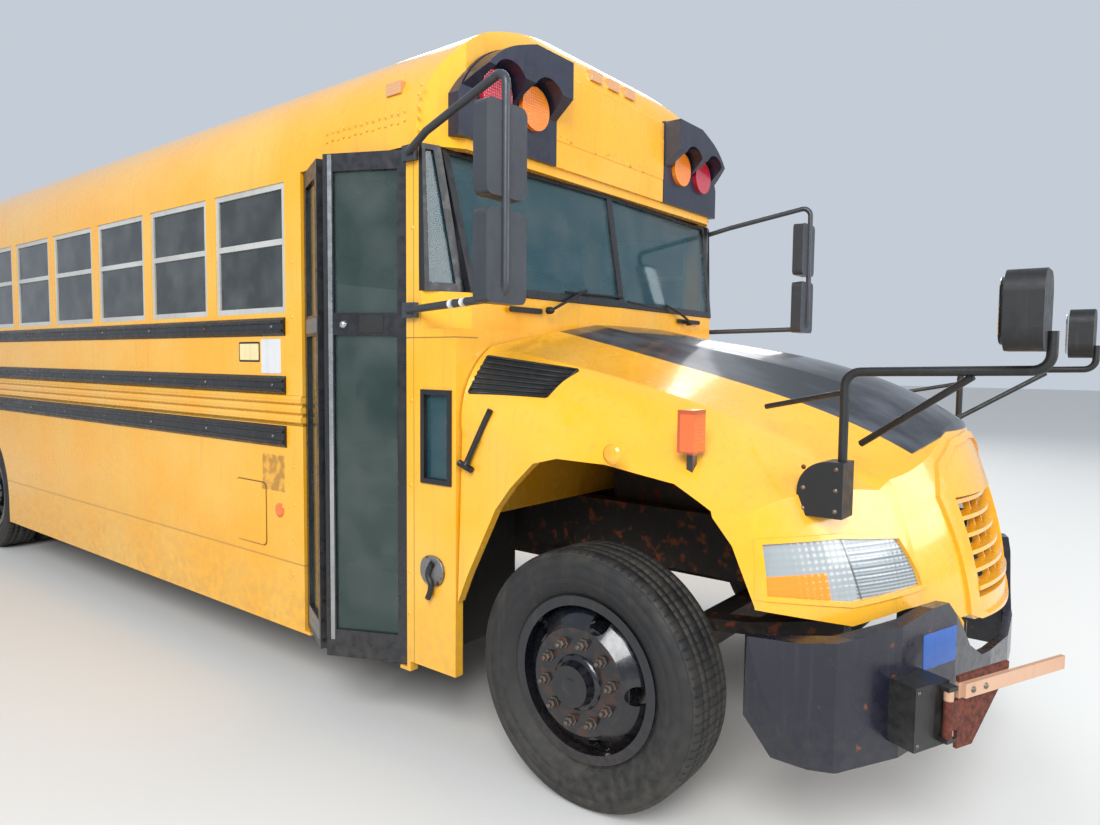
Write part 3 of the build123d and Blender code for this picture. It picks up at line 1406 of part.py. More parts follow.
with BuildPart() as stop_arm:
    with BuildSketch(Plane.XZ.offset(-(stop_hinge[1] + 14))) as octagon:
        with Locations((stop_hinge[0] - 40 - stop_radius, stop_centre_z)):
            RegularPolygon(stop_radius, 8, major_radius=False, rotation=22.5)
    extrude(amount=-8)
    with Locations((stop_hinge[0], stop_hinge[1], stop_centre_z)):
        Cylinder(12, 180)
    for arm_z in (stop_centre_z - 70, stop_centre_z + 50):
        slab(
            (stop_hinge[0] - 90, stop_hinge[0]),
            (stop_hinge[1] + 6, stop_hinge[1] + 14),
            (arm_z, arm_z + 20),
        )
keep(stop_arm, "stop_arm")

# Crossing gate on the bumper's right corner: its drive box, its gusset and the stub of its broken arm
gate_angle = 24
gate_pivot = (ahead(1089), -815)
gate_z = (450, 645)
gate_pin_z = (480, 625)
gate_pin_y = -20
gate_lug = ((-16, 26), (-32, 0))
stub_length = 560
stub_z = (598, 642)
gate_plane = Plane((*gate_pivot, 0), x_dir=(sin(radians(gate_angle)), cos(radians(gate_angle)), 0), z_dir=(0, 0, 1))

with BuildPart(gate_plane) as gate_drive:
    slab((-120, 30), (0, 125), gate_z)
    for lug_z in (gate_pin_z[0] - 12 - seat_gap, gate_pin_z[1] + seat_gap):
        slab(*gate_lug, (lug_z, lug_z + 12))

with BuildPart() as arm_boxes:
    for near, far, depth in ((32, 165, stop_box_depth), (-14, 34, 6)):
        slab(
            (stop_hinge[0] + near, stop_hinge[0] + far),
            (half_width + rub_depth + seat_gap, half_width + rub_depth + depth),
            (stop_centre_z - 100, stop_centre_z + 100),
        )
    add(gate_drive.part)
    add(front_bumper.part, mode=Mode.SUBTRACT)
keep(arm_boxes, "arm_boxes")

gusset = ((38, 441), (38, 662), (280, 668), (280, 646), (110, 441))

with BuildPart(gate_plane) as crossing_arm:
    with Locations((0, gate_pin_y, sum(gate_pin_z) / 2)):
        Cylinder(14, gate_pin_z[1] - gate_pin_z[0])
    slab((0, 60), (gate_pin_y - 6, gate_pin_y + 6), (500, 590))
    slab((50, stub_length), (gate_pin_y - 20, gate_pin_y - 6), stub_z)

with BuildPart() as gusset_plate:
    extrude(flat_shape(Plane.XZ, gusset), amount=6, both=True)

with BuildPart() as gate_arm:
    add(crossing_arm.part)
    add(gate_plane.location * Pos(0, gate_pin_y, 0) * gusset_plate.part)
keep(gate_arm, "crossing_arm")
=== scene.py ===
# %% [markdown]
# # Dressing a school bus
#
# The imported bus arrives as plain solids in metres: X forward, Y to its left and Z up,
# with the origin on the ground halfway along. This lesson gives every solid its real
# finish, then adds the thin things that a solid model leaves out: tread, rivets, wheel
# nuts, wipers, latches and stains.

# %%
from math import cos, pi, radians, sin

import bpy
import numpy as np
from mathutils import Matrix, Vector


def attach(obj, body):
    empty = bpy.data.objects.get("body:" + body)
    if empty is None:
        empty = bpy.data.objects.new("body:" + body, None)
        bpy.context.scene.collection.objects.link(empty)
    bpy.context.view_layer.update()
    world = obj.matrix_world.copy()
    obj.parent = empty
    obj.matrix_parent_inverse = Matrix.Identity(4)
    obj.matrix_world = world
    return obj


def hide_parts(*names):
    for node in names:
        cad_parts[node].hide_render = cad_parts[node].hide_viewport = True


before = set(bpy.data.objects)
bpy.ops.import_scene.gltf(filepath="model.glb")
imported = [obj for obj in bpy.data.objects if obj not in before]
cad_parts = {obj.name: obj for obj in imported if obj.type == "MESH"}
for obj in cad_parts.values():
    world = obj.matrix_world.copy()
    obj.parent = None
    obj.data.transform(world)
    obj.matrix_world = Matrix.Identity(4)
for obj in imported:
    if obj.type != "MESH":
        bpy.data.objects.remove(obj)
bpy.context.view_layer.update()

# %% [markdown]
# ## Places
#
# A truck chassis is laid out from its front axle, so lengths along the bus are given in
# metres ahead of that axle.

# %%
FRONT_AXLE_X = 3.8275
REAR_AXLE_X = -2.2175
HALF_WIDTH = 1.219
HUB_Z = 0.464
FRONT_WHEEL_Y = 1.048
REAR_WHEEL_Y = (1.064, 0.764)


def ahead(distance):
    """X of a place that lies this far ahead of the front axle."""
    return FRONT_AXLE_X + distance


# %% [markdown]
# ## Camera
#
# The camera stands where the photograph was taken from. Its place, heading, pitch, slight
# roll and focal length were fitted to the bus, at the scale of its front wheel.

# %%
FRAME_WIDTH_PX = 1100
FOCAL_PX = 774.6
SENSOR_MM = 36.0
CAMERA_PLACE = Vector((ahead(1.557), -3.316, 1.586))
HEADING, PITCH, ROLL = radians(38.239), radians(3.759), radians(0.555)

forward = Vector((-sin(HEADING) * cos(PITCH), cos(HEADING) * cos(PITCH), -sin(PITCH)))
level = Vector((cos(HEADING), sin(HEADING), 0.0))
upright = level.cross(forward)
right = level * cos(ROLL) + upright * sin(ROLL)
up = upright * cos(ROLL) - level * sin(ROLL)

camera = bpy.data.objects.new("camera", bpy.data.cameras.new("camera"))
camera.data.lens = FOCAL_PX * SENSOR_MM / FRAME_WIDTH_PX
camera.data.sensor_width = SENSOR_MM
camera.data.clip_end = 200.0
turned = Matrix((right, up, -forward)).transposed().to_4x4()
camera.matrix_world = Matrix.Translation(CAMERA_PLACE) @ turned
bpy.context.scene.collection.objects.link(camera)
bpy.context.scene.camera = camera
bpy.context.scene.view_settings.view_transform = "Standard"
print("lens:", round(camera.data.lens, 2), "mm")

# %% [markdown]
# ## Studio
#
# A pale floor, a pale surround and three large soft lights: a bright one high on the
# camera's side, a weaker one from ahead, and one that fills the far side.

# %%
def srgb(code):
    """A linear colour from a hex code: c = s/12.92 below 0.04045, ((s + 0.055)/1.055)^2.4 above."""
    shares = [int(code[i:i + 2], 16) / 255 for i in (0, 2, 4)]
    return tuple(s / 12.92 if s <= 0.04045 else ((s + 0.055) / 1.055) ** 2.4 for s in shares) + (1.0,)


def soft_light(name, place, target, size, power):
    """A square area light that points at a target."""
    lamp = bpy.data.objects.new(name, bpy.data.lights.new(name, "AREA"))
    lamp.data.size = size
    lamp.data.energy = power
    lamp.location = place
    lamp.rotation_euler = (Vector(target) - Vector(place)).to_track_quat("-Z", "Y").to_euler()
    bpy.context.scene.collection.objects.link(lamp)


world = bpy.data.worlds.new("studio")
world.use_nodes = True
backdrop = world.node_tree.nodes["Background"].inputs
backdrop["Color"].default_value = srgb("dfe8f4")
backdrop["Strength"].default_value = 0.75
bpy.context.scene.world = world
soft_light("key", (ahead(5.0), -11.0, 9.0), (ahead(-1.0), 0.0, 1.2), 7.0, 2050)
soft_light("front", (ahead(11.0), 3.0, 5.0), (ahead(0.0), 0.0, 1.2), 6.0, 650)
soft_light("far_side", (ahead(-8.0), 10.0, 8.0), (ahead(-4.0), 0.0, 1.5), 9.0, 900)

# %% [markdown]
# ## Small tools for materials
#
# One function adds a node and sets or links its sockets. Every pattern reads Object
# coordinates, which are metres on the bus itself, so a grain of 2 mm stays 2 mm.

# %%
def add(tree, kind, *links, **values):
    """A shader node: links fill its sockets in order, values set sockets or properties by name."""
    made = tree.nodes.new("ShaderNode" + kind)
    for name, value in values.items():
        if hasattr(made, name):
            setattr(made, name, value)
        else:
            connect(tree, value, next(s for s in made.inputs if s.name.replace(" ", "_") == name))
    for place, link in enumerate(links):
        connect(tree, link, made.inputs[place])
    return made


def connect(tree, value, socket):
    """Links a socket to another socket, or sets it to a number or a colour."""
    if isinstance(value, bpy.types.NodeSocket):
        tree.links.new(value, socket)
    else:
        socket.default_value = value


def material(name):
    """A new material and its node tree, with the shader and the coordinates ready."""
    made = bpy.data.materials.new(name)
    made.use_nodes = True
    tree = made.node_tree
    return made, tree, tree.nodes["Principled BSDF"], add(tree, "TexCoord").outputs["Object"]


def settle(shader, **values):
    """Sets the shader's own values by name."""
    for name, value in values.items():
        shader.inputs[name.replace("_", " ")].default_value = value


def noise(tree, where, per_metre, detail=3.0, stretch=(1.0, 1.0, 1.0)):
    """Cloudy noise with a number of lumps per metre, stretched along any axis."""
    placed = add(tree, "Mapping", where, Scale=stretch).outputs[0]
    return add(tree, "TexNoise", placed, Scale=per_metre, Detail=detail).outputs["Fac"]


def limits(tree, value, low, high, start=0.0, end=1.0):
    """A value carried from one range to another and clamped there."""
    return add(tree, "MapRange", value, low, high, start, end).outputs[0]


def mix(tree, share, first, second):
    """A blend of two colours."""
    made = add(tree, "Mix", data_type="RGBA")
    for place, value in ((0, share), (6, first), (7, second)):
        connect(tree, value, made.inputs[place])
    return made.outputs[2]


def maths(tree, how, first, second=0.0):
    """One arithmetic step on two numbers."""
    return add(tree, "Math", first, second, operation=how).outputs[0]


def rest(tree, share):
    """What a share leaves of 1."""
    return maths(tree, "SUBTRACT", 1.0, share)


def bump(tree, shader, height, depth, strength=1.0):
    """Relief of a height map whose full range is a depth in metres, over any relief already there."""
    made = add(tree, "Bump", Height=height, Strength=strength, Distance=depth)
    under = shader.inputs["Normal"].links
    if under:
        tree.links.new(under[0].from_socket, made.inputs["Normal"])
    tree.links.new(made.outputs[0], shader.inputs["Normal"])


def overlay(tree, shader, share, colour, rough=None):
    """Lays a colour, and its roughness, over what the shader has where share is 1."""
    for name, value in (("Base Color", colour), ("Roughness", rough)):
        if value is None:
            continue
        socket = shader.inputs[name]
        under = socket.links[0].from_socket
        if name == "Roughness":
            kept = maths(tree, "MULTIPLY", under, rest(tree, share))
            value = maths(tree, "ADD", kept, maths(tree, "MULTIPLY", share, value))
        else:
            value = mix(tree, share, under, value)
        tree.links.new(value, socket)


def axes(tree, where):
    """Length ahead of the front axle, distance from the centreline, side and height of a point."""
    parts = add(tree, "SeparateXYZ", where).outputs
    forward_of = maths(tree, "SUBTRACT", parts[0], FRONT_AXLE_X)
    return forward_of, maths(tree, "ABSOLUTE", parts[1]), parts[1], parts[2]


def above(tree, value, edge, soft=0.002):
    """1 where a value is above an edge, 0 below it, with a soft step between."""
    return limits(tree, value, edge - soft, edge + soft)


def below(tree, value, edge, soft=0.002):
    """1 where a value is below an edge, 0 above it."""
    return rest(tree, above(tree, value, edge, soft))


def inside(tree, *spans):
    """1 where every value lies in its span."""
    share = 1.0
    for value, low, high in spans:
        share = maths(tree, "MULTIPLY", above(tree, value, low), share)
        share = maths(tree, "MULTIPLY", share, below(tree, value, high))
    return share


def waves(tree, value, pitch):
    """A number that swings between 0 and 1 once for each pitch in metres."""
    turned = maths(tree, "SINE", maths(tree, "MULTIPLY", value, 2 * pi / pitch))
    return limits(tree, turned, -1.0, 1.0)


# %% [markdown]
# ## Weathered finishes
#
# Nearly everything outdoors ages in the same four ways: its colour drifts, rain draws
# streaks, road dust climbs from below, and chips or rust open in spots.

# %%
def wear(name, base, faded, dirt, rough=(0.3, 0.5), metallic=0.0, coat=0.0, dust_top=0.9, rust=0.0):
    """Paint, plastic or metal that has stood outdoors.

    Its colour drifts between a base and a faded tone in patches half a metre wide, rain
    has drawn thin streaks down it, road dust thickens from dust_top to the ground, and
    rust breaks out in spots a few millimetres wide, more of them for a larger rust value.
    """
    made, tree, shader, where = material(name)
    patches = limits(tree, noise(tree, where, 2.2), 0.35, 0.7)
    streaks = limits(tree, noise(tree, where, 9.0, 4.0, (4.0, 4.0, 0.25)), 0.55, 0.8, 0.0, 0.3)
    height = add(tree, "SeparateXYZ", where).outputs[2]
    low = limits(tree, height, dust_top, 0.1, 0.0, 0.7)
    grain = limits(tree, noise(tree, where, 30.0, 6.0), 0.35, 0.75)
    soiled = maths(tree, "MULTIPLY", low, grain)
    colour = mix(tree, patches, srgb(base), srgb(faded))
    colour = mix(tree, maths(tree, "MAXIMUM", streaks, soiled), colour, srgb(dirt))
    if rust:
        spots = limits(tree, noise(tree, where, 22.0, 8.0), 0.72 - 0.3 * rust, 0.80 - 0.3 * rust)
        colour = mix(tree, spots, colour, mix(tree, grain, srgb("5a2c17"), srgb("8a4a24")))
    tree.links.new(colour, shader.inputs["Base Color"])
    tree.links.new(limits(tree, grain, 0.0, 1.0, *rough), shader.inputs["Roughness"])
    settle(shader, Metallic=metallic, Coat_Weight=coat, Coat_Roughness=0.08)
    bump(tree, shader, noise(tree, where, 400.0, 2.0), 0.0002, 0.5)
    return made, tree, shader, where


def plain(*settings, **more):
    """Only the material of a weathered finish."""
    return wear(*settings, **more)[0]


# %% [markdown]
# ## Plain materials
#
# Each row gives the new colour, the faded one, the dirt's colour, and the least and most
# roughness. Some add a clear coat, a metallic share or spots of rust.

# %%
YELLOW = ("efa912", "ecb340", "a8864a", (0.16, 0.36))
enamel_yellow = plain("yellow_enamel", *YELLOW, coat=0.5)
enamel_black = plain("black_enamel", "16171b", "1f2126", "4d4a44", (0.25, 0.5))
navy_enamel = plain("navy_enamel", "171b2c", "20253a", "3c3d44", (0.3, 0.5), coat=0.2)
chassis_black = plain("chassis_paint", "151515", "1f1d1b", "5a5048", (0.6, 0.9), dust_top=1.2, rust=0.5)
cast_iron = plain("cast_iron", "3a3a3a", "464340", "5c544a", (0.6, 0.85), metallic=0.6, rust=0.5)
rubber_mat = plain("rubber_mat", "1a1a1a", "242424", "4a463f", (0.6, 0.85))
seat_vinyl = plain("seat_vinyl", "1c2430", "232c38", "3a3f45", (0.45, 0.65))
grey_plastic = plain("grey_plastic", "3c3d3f", "484a4c", "5a5853", (0.5, 0.7))
black_plastic = plain("black_plastic", "121314", "1c1d1f", "4a4640", (0.4, 0.65))
mirror_plastic = plain("mirror_plastic", "2f3238", "3b3f46", "4a4640", (0.3, 0.5))
dull_metal = plain("dull_aluminium", "9a9c9e", "8a8c8e", "6a655c", (0.35, 0.6), metallic=0.9)
pale_aluminium = plain("pale_aluminium", "cfcfca", "bdbdb8", "8f8a7e", (0.35, 0.6), metallic=0.35)
galvanised = plain("galvanised_steel", "7e8082", "8b8c8c", "6a5a4c", (0.45, 0.7), metallic=0.8, rust=0.6)
stop_red = plain("red_enamel", "a01418", "a8241f", "5a3028", (0.3, 0.5), coat=0.3)
bolt_steel = plain("bolt_steel", "6c6660", "8a8178", "5a3d2c", (0.35, 0.6), metallic=0.8, rust=0.6)
bright_steel = plain("bright_steel", "b9bbbd", "a7a9ab", "77736b", (0.2, 0.4), metallic=1.0)
mirror_glass = plain("mirror_glass", "c9d2d8", "bcc6cd", "8f928f", (0.02, 0.1), metallic=1.0)
print("plain materials:", len(bpy.data.materials))

# %% [markdown]
# ## Hood paint
#
# The top of the hood has a matt black panel that keeps sunlight out of the driver's eyes.
# Its edges run in towards the nose, and it stops above the raised frame round the grille.
# The nose carries stone chips.

# %%
PANEL_HALF_WIDTH = 0.516
PANEL_TAPER = 0.13
PANEL_LOW_Z = 1.342
PANEL_LEVEL_HALF = 0.19
PANEL_DROP = 0.32

hood_paint, tree, shader, where = wear("hood_enamel", *YELLOW, coat=0.5)
forward_of, off_centre, _, height = axes(tree, where)
edge_y = maths(tree, "SUBTRACT", PANEL_HALF_WIDTH, maths(tree, "MULTIPLY", forward_of, PANEL_TAPER))
beside = above(tree, maths(tree, "SUBTRACT", edge_y, off_centre), 0.0)
past_level = maths(tree, "MAXIMUM", maths(tree, "SUBTRACT", off_centre, PANEL_LEVEL_HALF), 0.0)
drop = maths(tree, "MULTIPLY", past_level, PANEL_DROP)
over_grille = above(tree, maths(tree, "ADD", height, drop), PANEL_LOW_Z)
panel = maths(tree, "MULTIPLY", beside, over_grille)
scuffs = limits(tree, noise(tree, where, 5.0, 5.0, (0.6, 2.0, 1.0)), 0.45, 0.7)
panel_colour = mix(tree, scuffs, srgb("23262c"), srgb("4b5058"))
overlay(tree, shader, panel, panel_colour, 0.38)
chips = limits(tree, noise(tree, where, 90.0, 2.0), 0.74, 0.77)
nose = above(tree, forward_of, 0.75, 0.2)
overlay(tree, shader, maths(tree, "MULTIPLY", chips, nose), srgb("5c4a30"))
bump(tree, shader, noise(tree, where, 6.0, 1.0), 0.0008, 0.3)
print("hood paint:", len(tree.nodes), "nodes")

# %% [markdown]
# ## Lamp lenses
#
# A moulded lens is fluted inside: fine prisms, a few millimetres wide, break up the light.
# The headlamp has three parts: an amber corner, a clear outer half and a ribbed inner one whose ribs carry
# painted shade as darker stripes.

# %%
def lens(name, base, faded, pitch):
    """A coloured lens with a square grid of prisms of one pitch."""
    made, tree, shader, where = wear(name, base, faded, "6a5040", (0.08, 0.2), coat=0.8)
    forward_of, off_centre, side, height = axes(tree, where)
    grid = maths(tree, "ADD", waves(tree, side, pitch), waves(tree, height, pitch))
    bump(tree, shader, grid, 0.0008, 0.8)
    settle(shader, Specular_IOR_Level=0.6)
    return made, tree, shader, forward_of, off_centre, height


ROUND_PRISM = 0.012
MARKER_PRISM = 0.008
HEADLAMP_PRISM = 0.02

red_lens = lens("red_lens", "b3122c", "c4243a", ROUND_PRISM)[0]

# The small clearance lamps on the roof have bleached to beige.
amber_lens, tree, shader, _, off_centre, height = lens("amber_lens", "ef7a12", "f08c22", ROUND_PRISM)
small = maths(tree, "MAXIMUM", above(tree, height, 2.93), above(tree, off_centre, 1.11))
overlay(tree, shader, small, srgb("cf9a68"), 0.35)

# The hood's side marker has a black foot, and its front face is painted brighter: painted light on the face
# that looks ahead.
marker_lens, tree, shader, forward_of, _, height = lens("marker_lens", "b8461a", "c4551e", MARKER_PRISM)
overlay(tree, shader, below(tree, height, 1.286), srgb("141416"), 0.5)
painted_lit_front_face = inside(tree, (forward_of, 0.34, 0.42), (height, 1.3, 1.42))
overlay(tree, shader, painted_lit_front_face, srgb("e0662a"), 0.12)

headlamp_lens, tree, shader, _, off_centre, height = lens("headlamp_lens", "8f979b", "a5abab", HEADLAMP_PRISM)
ribs = waves(tree, height, 0.011)
inner = below(tree, off_centre, 0.82)
# Painted shade: darker stripes along the ribs of the inner half.
painted_rib_shade = maths(tree, "MULTIPLY", inner, limits(tree, ribs, 0.2, 0.8))
overlay(tree, shader, painted_rib_shade, srgb("6c777d"), 0.15)
slanted = maths(tree, "ADD", off_centre, maths(tree, "MULTIPLY", height, -0.15))
seam = inside(tree, (slanted, 0.677, 0.683))
overlay(tree, shader, seam, srgb("3d3f40"), 0.4)
corner = inside(tree, (off_centre, 0.905, 1.2), (height, 0.8, 0.935))
overlay(tree, shader, corner, srgb("ef8a14"), 0.15)
print("materials:", len(bpy.data.materials))

# %% [markdown]
# ## Tyre rubber and wheel paint
#
# Patterns round a wheel use the distance from its axis and the angle about it. The tread's
# cross cuts are too fine for the mesh, so they are relief, and painted shade darkens them.

# %%
def round_about(tree, where, centre_x):
    """Distance from a wheel's axis and the angle round it."""
    parts = add(tree, "SeparateXYZ", where).outputs
    along = maths(tree, "SUBTRACT", parts[0], centre_x)
    rise = maths(tree, "SUBTRACT", parts[2], HUB_Z)
    squares = [maths(tree, "MULTIPLY", value, value) for value in (along, rise)]
    distance = maths(tree, "SQRT", maths(tree, "ADD", *squares))
    return distance, maths(tree, "ARCTAN2", rise, along)


def tyre_rubber(name, centre_x, sipes):
    """Black rubber: fine moulded rings on the wall, cuts across the tread darkened by painted shade, and grey
    dust in both.
    """
    made, tree, shader, where = wear(name, "1a1a1b", "242425", "4f4a42", (0.6, 0.85), dust_top=0.7)
    distance, angle = round_about(tree, where, centre_x)
    rings = maths(tree, "MULTIPLY", waves(tree, distance, 0.0055), limits(tree, distance, 0.452, 0.445))
    bump(tree, shader, rings, 0.0012, 0.7)
    tread = above(tree, distance, 0.4535)
    cuts_and_painted_shade = above(tree, waves(tree, angle, 2 * pi / sipes), 0.86, 0.05)
    cuts_and_painted_shade = maths(tree, "MULTIPLY", cuts_and_painted_shade, tread)
    # Painted shade: the cuts are darkened in colour as well as sunk by relief.
    overlay(tree, shader, maths(tree, "MULTIPLY", cuts_and_painted_shade, 0.7), srgb("0c0c0c"), 0.9)
    bump(tree, shader, rest(tree, cuts_and_painted_shade), 0.004, 0.8)
    worn = limits(tree, noise(tree, where, 14.0, 4.0), 0.4, 0.7)
    outward = limits(tree, distance, 0.40, 0.47, 0.0, 0.55)
    overlay(tree, shader, maths(tree, "MULTIPLY", worn, outward), srgb("4b473f"))
    return made


def wheel_paint(name, centre_x):
    """Black wheel enamel that still shines, with rust creeping from the studs."""
    wet_look = {"rough": (0.16, 0.4), "metallic": 0.2, "coat": 0.5, "dust_top": 0.5}
    made, tree, shader, where = wear(name, "101218", "181b22", "4a3f36", **wet_look)
    distance, _ = round_about(tree, where, centre_x)
    near_studs = inside(tree, (distance, 0.10, 0.19))
    spots = limits(tree, noise(tree, where, 26.0, 8.0), 0.5, 0.62)
    share = maths(tree, "MULTIPLY", spots, maths(tree, "MULTIPLY", near_studs, 0.6))
    overlay(tree, shader, share, srgb("4a2c20"), 0.8)
    return made


steer_tyre = tyre_rubber("steer_tyre_rubber", FRONT_AXLE_X, 96)
drive_tyre = tyre_rubber("drive_tyre_rubber", REAR_AXLE_X, 60)
steer_wheel_paint = wheel_paint("steer_wheel_paint", FRONT_AXLE_X)
drive_wheel_paint = wheel_paint("drive_wheel_paint", REAR_AXLE_X)
print("materials:", len(bpy.data.materials))

# %% [markdown]
# ## Glass
#
# The windscreen is the clearest. The doors' glass is greener and the side windows are dark.

# %%
def glass(name, tint, rough, body):
    """Vehicle glass: a thin tinted sheet, dusty enough to catch the light."""
    made, tree, shader, where = material(name)
    dust = limits(tree, noise(tree, where, 6.0, 5.0), 0.4, 0.8, 0.0, 1.0)
    tree.links.new(limits(tree, dust, 0.0, 1.0, rough, rough + 0.1), shader.inputs["Roughness"])
    colour = mix(tree, maths(tree, "MULTIPLY", dust, 0.25), srgb(tint), srgb("8a8f8c"))
    tree.links.new(colour, shader.inputs["Base Color"])
    settle(shader, Alpha=body, IOR=1.5, Coat_Weight=0.6)
    bump(tree, shader, noise(tree, where, 3.0, 1.0), 0.001, 0.2)
    return made


clear_glass = glass("clear_glass", "2c5560", 0.02, 0.45)
door_glass = glass("door_glass", "2f4440", 0.02, 0.5)
dark_glass = glass("tinted_glass", "1b2222", 0.04, 0.85)
print("materials:", len(bpy.data.materials))

# %% [markdown]
# ## Bodywork with seams and stains
#
# The side sheets carry a worn patch above the filler flap's front edge.
# The crossing arm is a tan resin bar on a rusty steel gusset, so one material tells them
# apart by height.

# %%
side_paint, tree, shader, where = wear("side_enamel", *YELLOW, coat=0.35)
forward_of, _, side, height = axes(tree, where)
torn = limits(tree, noise(tree, where, 24.0, 6.0), 0.42, 0.55)
patch = inside(tree, (forward_of, -1.89, -1.70), (height, 0.95, 1.125), (side, -1.3, -1.2))
ragged = maths(tree, "ADD", maths(tree, "MULTIPLY", torn, 0.5), 0.15)
overlay(tree, shader, maths(tree, "MULTIPLY", patch, ragged), srgb("7d5326"), 0.7)
ribs = inside(tree, (height, 1.275, 1.415))
ripple = maths(tree, "MULTIPLY", waves(tree, maths(tree, "SUBTRACT", height, 1.28), 0.0457), ribs)
bump(tree, shader, ripple, 0.014, 1.0)
skirt_seam = inside(tree, (height, 0.618, 0.622))
overlay(tree, shader, skirt_seam, srgb("7a5a28"), 0.7)

cowl_paint, tree, shader, where = wear("cowl_enamel", *YELLOW, coat=0.35)
forward_of, off_centre, _, height = axes(tree, where)
seam = inside(tree, (height, 1.674, 1.678), (off_centre, 1.1, 1.3))
post = inside(tree, (forward_of, -0.792, -0.789), (off_centre, 1.1, 1.3), (height, 0.3, 2.43))
overlay(tree, shader, maths(tree, "MAXIMUM", seam, post), srgb("6e4f1d"), 0.7)

matt = {"rough": (0.4, 0.6), "dust_top": 0.4}
gate_finish, tree, shader, where = wear("resin_and_rust", "bb9277", "c7a285", "8a6f55", **matt)
height = axes(tree, where)[3]
gusset = below(tree, height, 0.596)
upper = above(tree, height, 0.6435)
rust_grain = limits(tree, noise(tree, where, 60.0, 6.0), 0.35, 0.65)
rust_colour = mix(tree, rust_grain, srgb("3f1a12"), srgb("6b3220"))
overlay(tree, shader, maths(tree, "MAXIMUM", gusset, upper), rust_colour, 0.85)

scuffed = {"rough": (0.22, 0.42), "coat": 0.15, "dust_top": 0.6, "rust": 0.15}
bumper_paint, tree, shader, where = wear("bumper_enamel", "131421", "1b1c2b", "47443f", **scuffed)
bump(tree, shader, noise(tree, where, 8.0, 2.0), 0.002, 0.3)
print("materials:", len(bpy.data.materials))

# %% [markdown]
# ## A finish for every solid
#
# Each material lists the solids that wear it.

# %%
NODE_FINISH = {
    enamel_yellow: "roof front_cap rear_wall rear_door hatch_front hatch_rear grille",
    side_paint: "side_panels window_bands",
    cowl_paint: "cowl",
    hood_paint: "hood",
    enamel_black: "rub_rails rear_bumper door_front door_rear windscreen_frame cowl_window_frames",
    navy_enamel: "lamp_housings",
    bumper_paint: "front_bumper",
    pale_aluminium: "window_sashes",
    chassis_black: "frame_rails crossmembers front_axle rear_axle fuel_tank knuckle_right "
                   "knuckle_left tie_rod",
    cast_iron: "engine",
    rubber_mat: "floor step_well mud_flaps",
    clear_glass: "windscreen",
    door_glass: "door_front_glass door_rear_glass",
    dark_glass: "window_glass rear_windows rear_door_glass",
    seat_vinyl: "seats",
    grey_plastic: "dashboard",
    black_plastic: "arm_boxes hood_mirrors",
    mirror_plastic: "side_mirrors",
    dull_metal: "seat_legs",
    galvanised: "exhaust",
    steer_tyre: "tyre_front_right tyre_front_left",
    drive_tyre: "tyres_rear_right tyres_rear_left",
    steer_wheel_paint: "wheel_front_right wheel_front_left",
    drive_wheel_paint: "wheels_rear_right wheels_rear_left",
    red_lens: "red_lamps",
    amber_lens: "amber_lamps",
    marker_lens: "hood_markers",
    headlamp_lens: "headlamps",
    stop_red: "stop_arm",
    gate_finish: "crossing_arm",
}

for made, names in NODE_FINISH.items():
    for name in names.split():
        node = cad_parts[name]
        node.data.materials.clear()
        node.data.materials.append(made)
print("materials on solids:", len(NODE_FINISH))

# %% [markdown]
# ## Meshes from grids
#
# Every added shape is a grid of points that one formula gives at once. A small table of
# faces joins the points, and several grids can share one mesh.

# %%
def grid_faces(rows, columns, wrap=False):
    """Quads of a grid whose points are numbered row by row, closed across its columns if wrapped."""
    r, c = np.meshgrid(np.arange(rows - 1), np.arange(columns if wrap else columns - 1), indexing="ij")
    ahead_c = (c + 1) % columns
    this_row, next_row = r * columns, (r + 1) * columns
    return np.stack([this_row + c, next_row + c, next_row + ahead_c, this_row + ahead_c], -1).reshape(-1, 4)


def joined(parts):
    """One list of points and faces from several."""
    starts = np.cumsum([0] + [len(points) for points, _ in parts])
    points = np.concatenate([points for points, _ in parts])
    faces = [face + start for (_, group), start in zip(parts, starts) for face in group]
    return points, faces


def piece(name, shape, made, body, smooth=True):
    """A mesh object at the origin that rides on a body of the bus."""
    points, faces = shape
    mesh = bpy.data.meshes.new(name)
    mesh.from_pydata(np.asarray(points).tolist(), [], [np.asarray(face).tolist() for face in faces])
    mesh.validate()
    mesh.polygons.foreach_set("use_smooth", np.full(len(mesh.polygons), smooth))
    mesh.materials.append(made)
    item = bpy.data.objects.new(name, mesh)
    bpy.context.scene.collection.objects.link(item)
    if body:
        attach(item, body)
    return item


# %% [markdown]
# ## Turned forms and bars
#
# A lathe turns a profile, and a sweep carries a circle along a line, bent or straight.

# %%
def lathe(profile, centre, sides=32, way=-1.0, turn=None):
    """A turned form about a line along Y, or another way given by a rotation.

    A profile point (r, h) sweeps the circle (r cos t, way h, r sin t) for t from 0 to 2 pi.
    """
    radius, reach = np.array(profile, float).T
    t = np.linspace(0, 2 * pi, sides, endpoint=False)
    level = np.outer(way * reach, np.ones(sides))
    points = np.stack([np.outer(radius, np.cos(t)), level, np.outer(radius, np.sin(t))], -1).reshape(-1, 3)
    if turn is not None:
        points = points @ np.array(turn).T
    return points + np.array(centre), list(grid_faces(len(radius), sides, wrap=True))


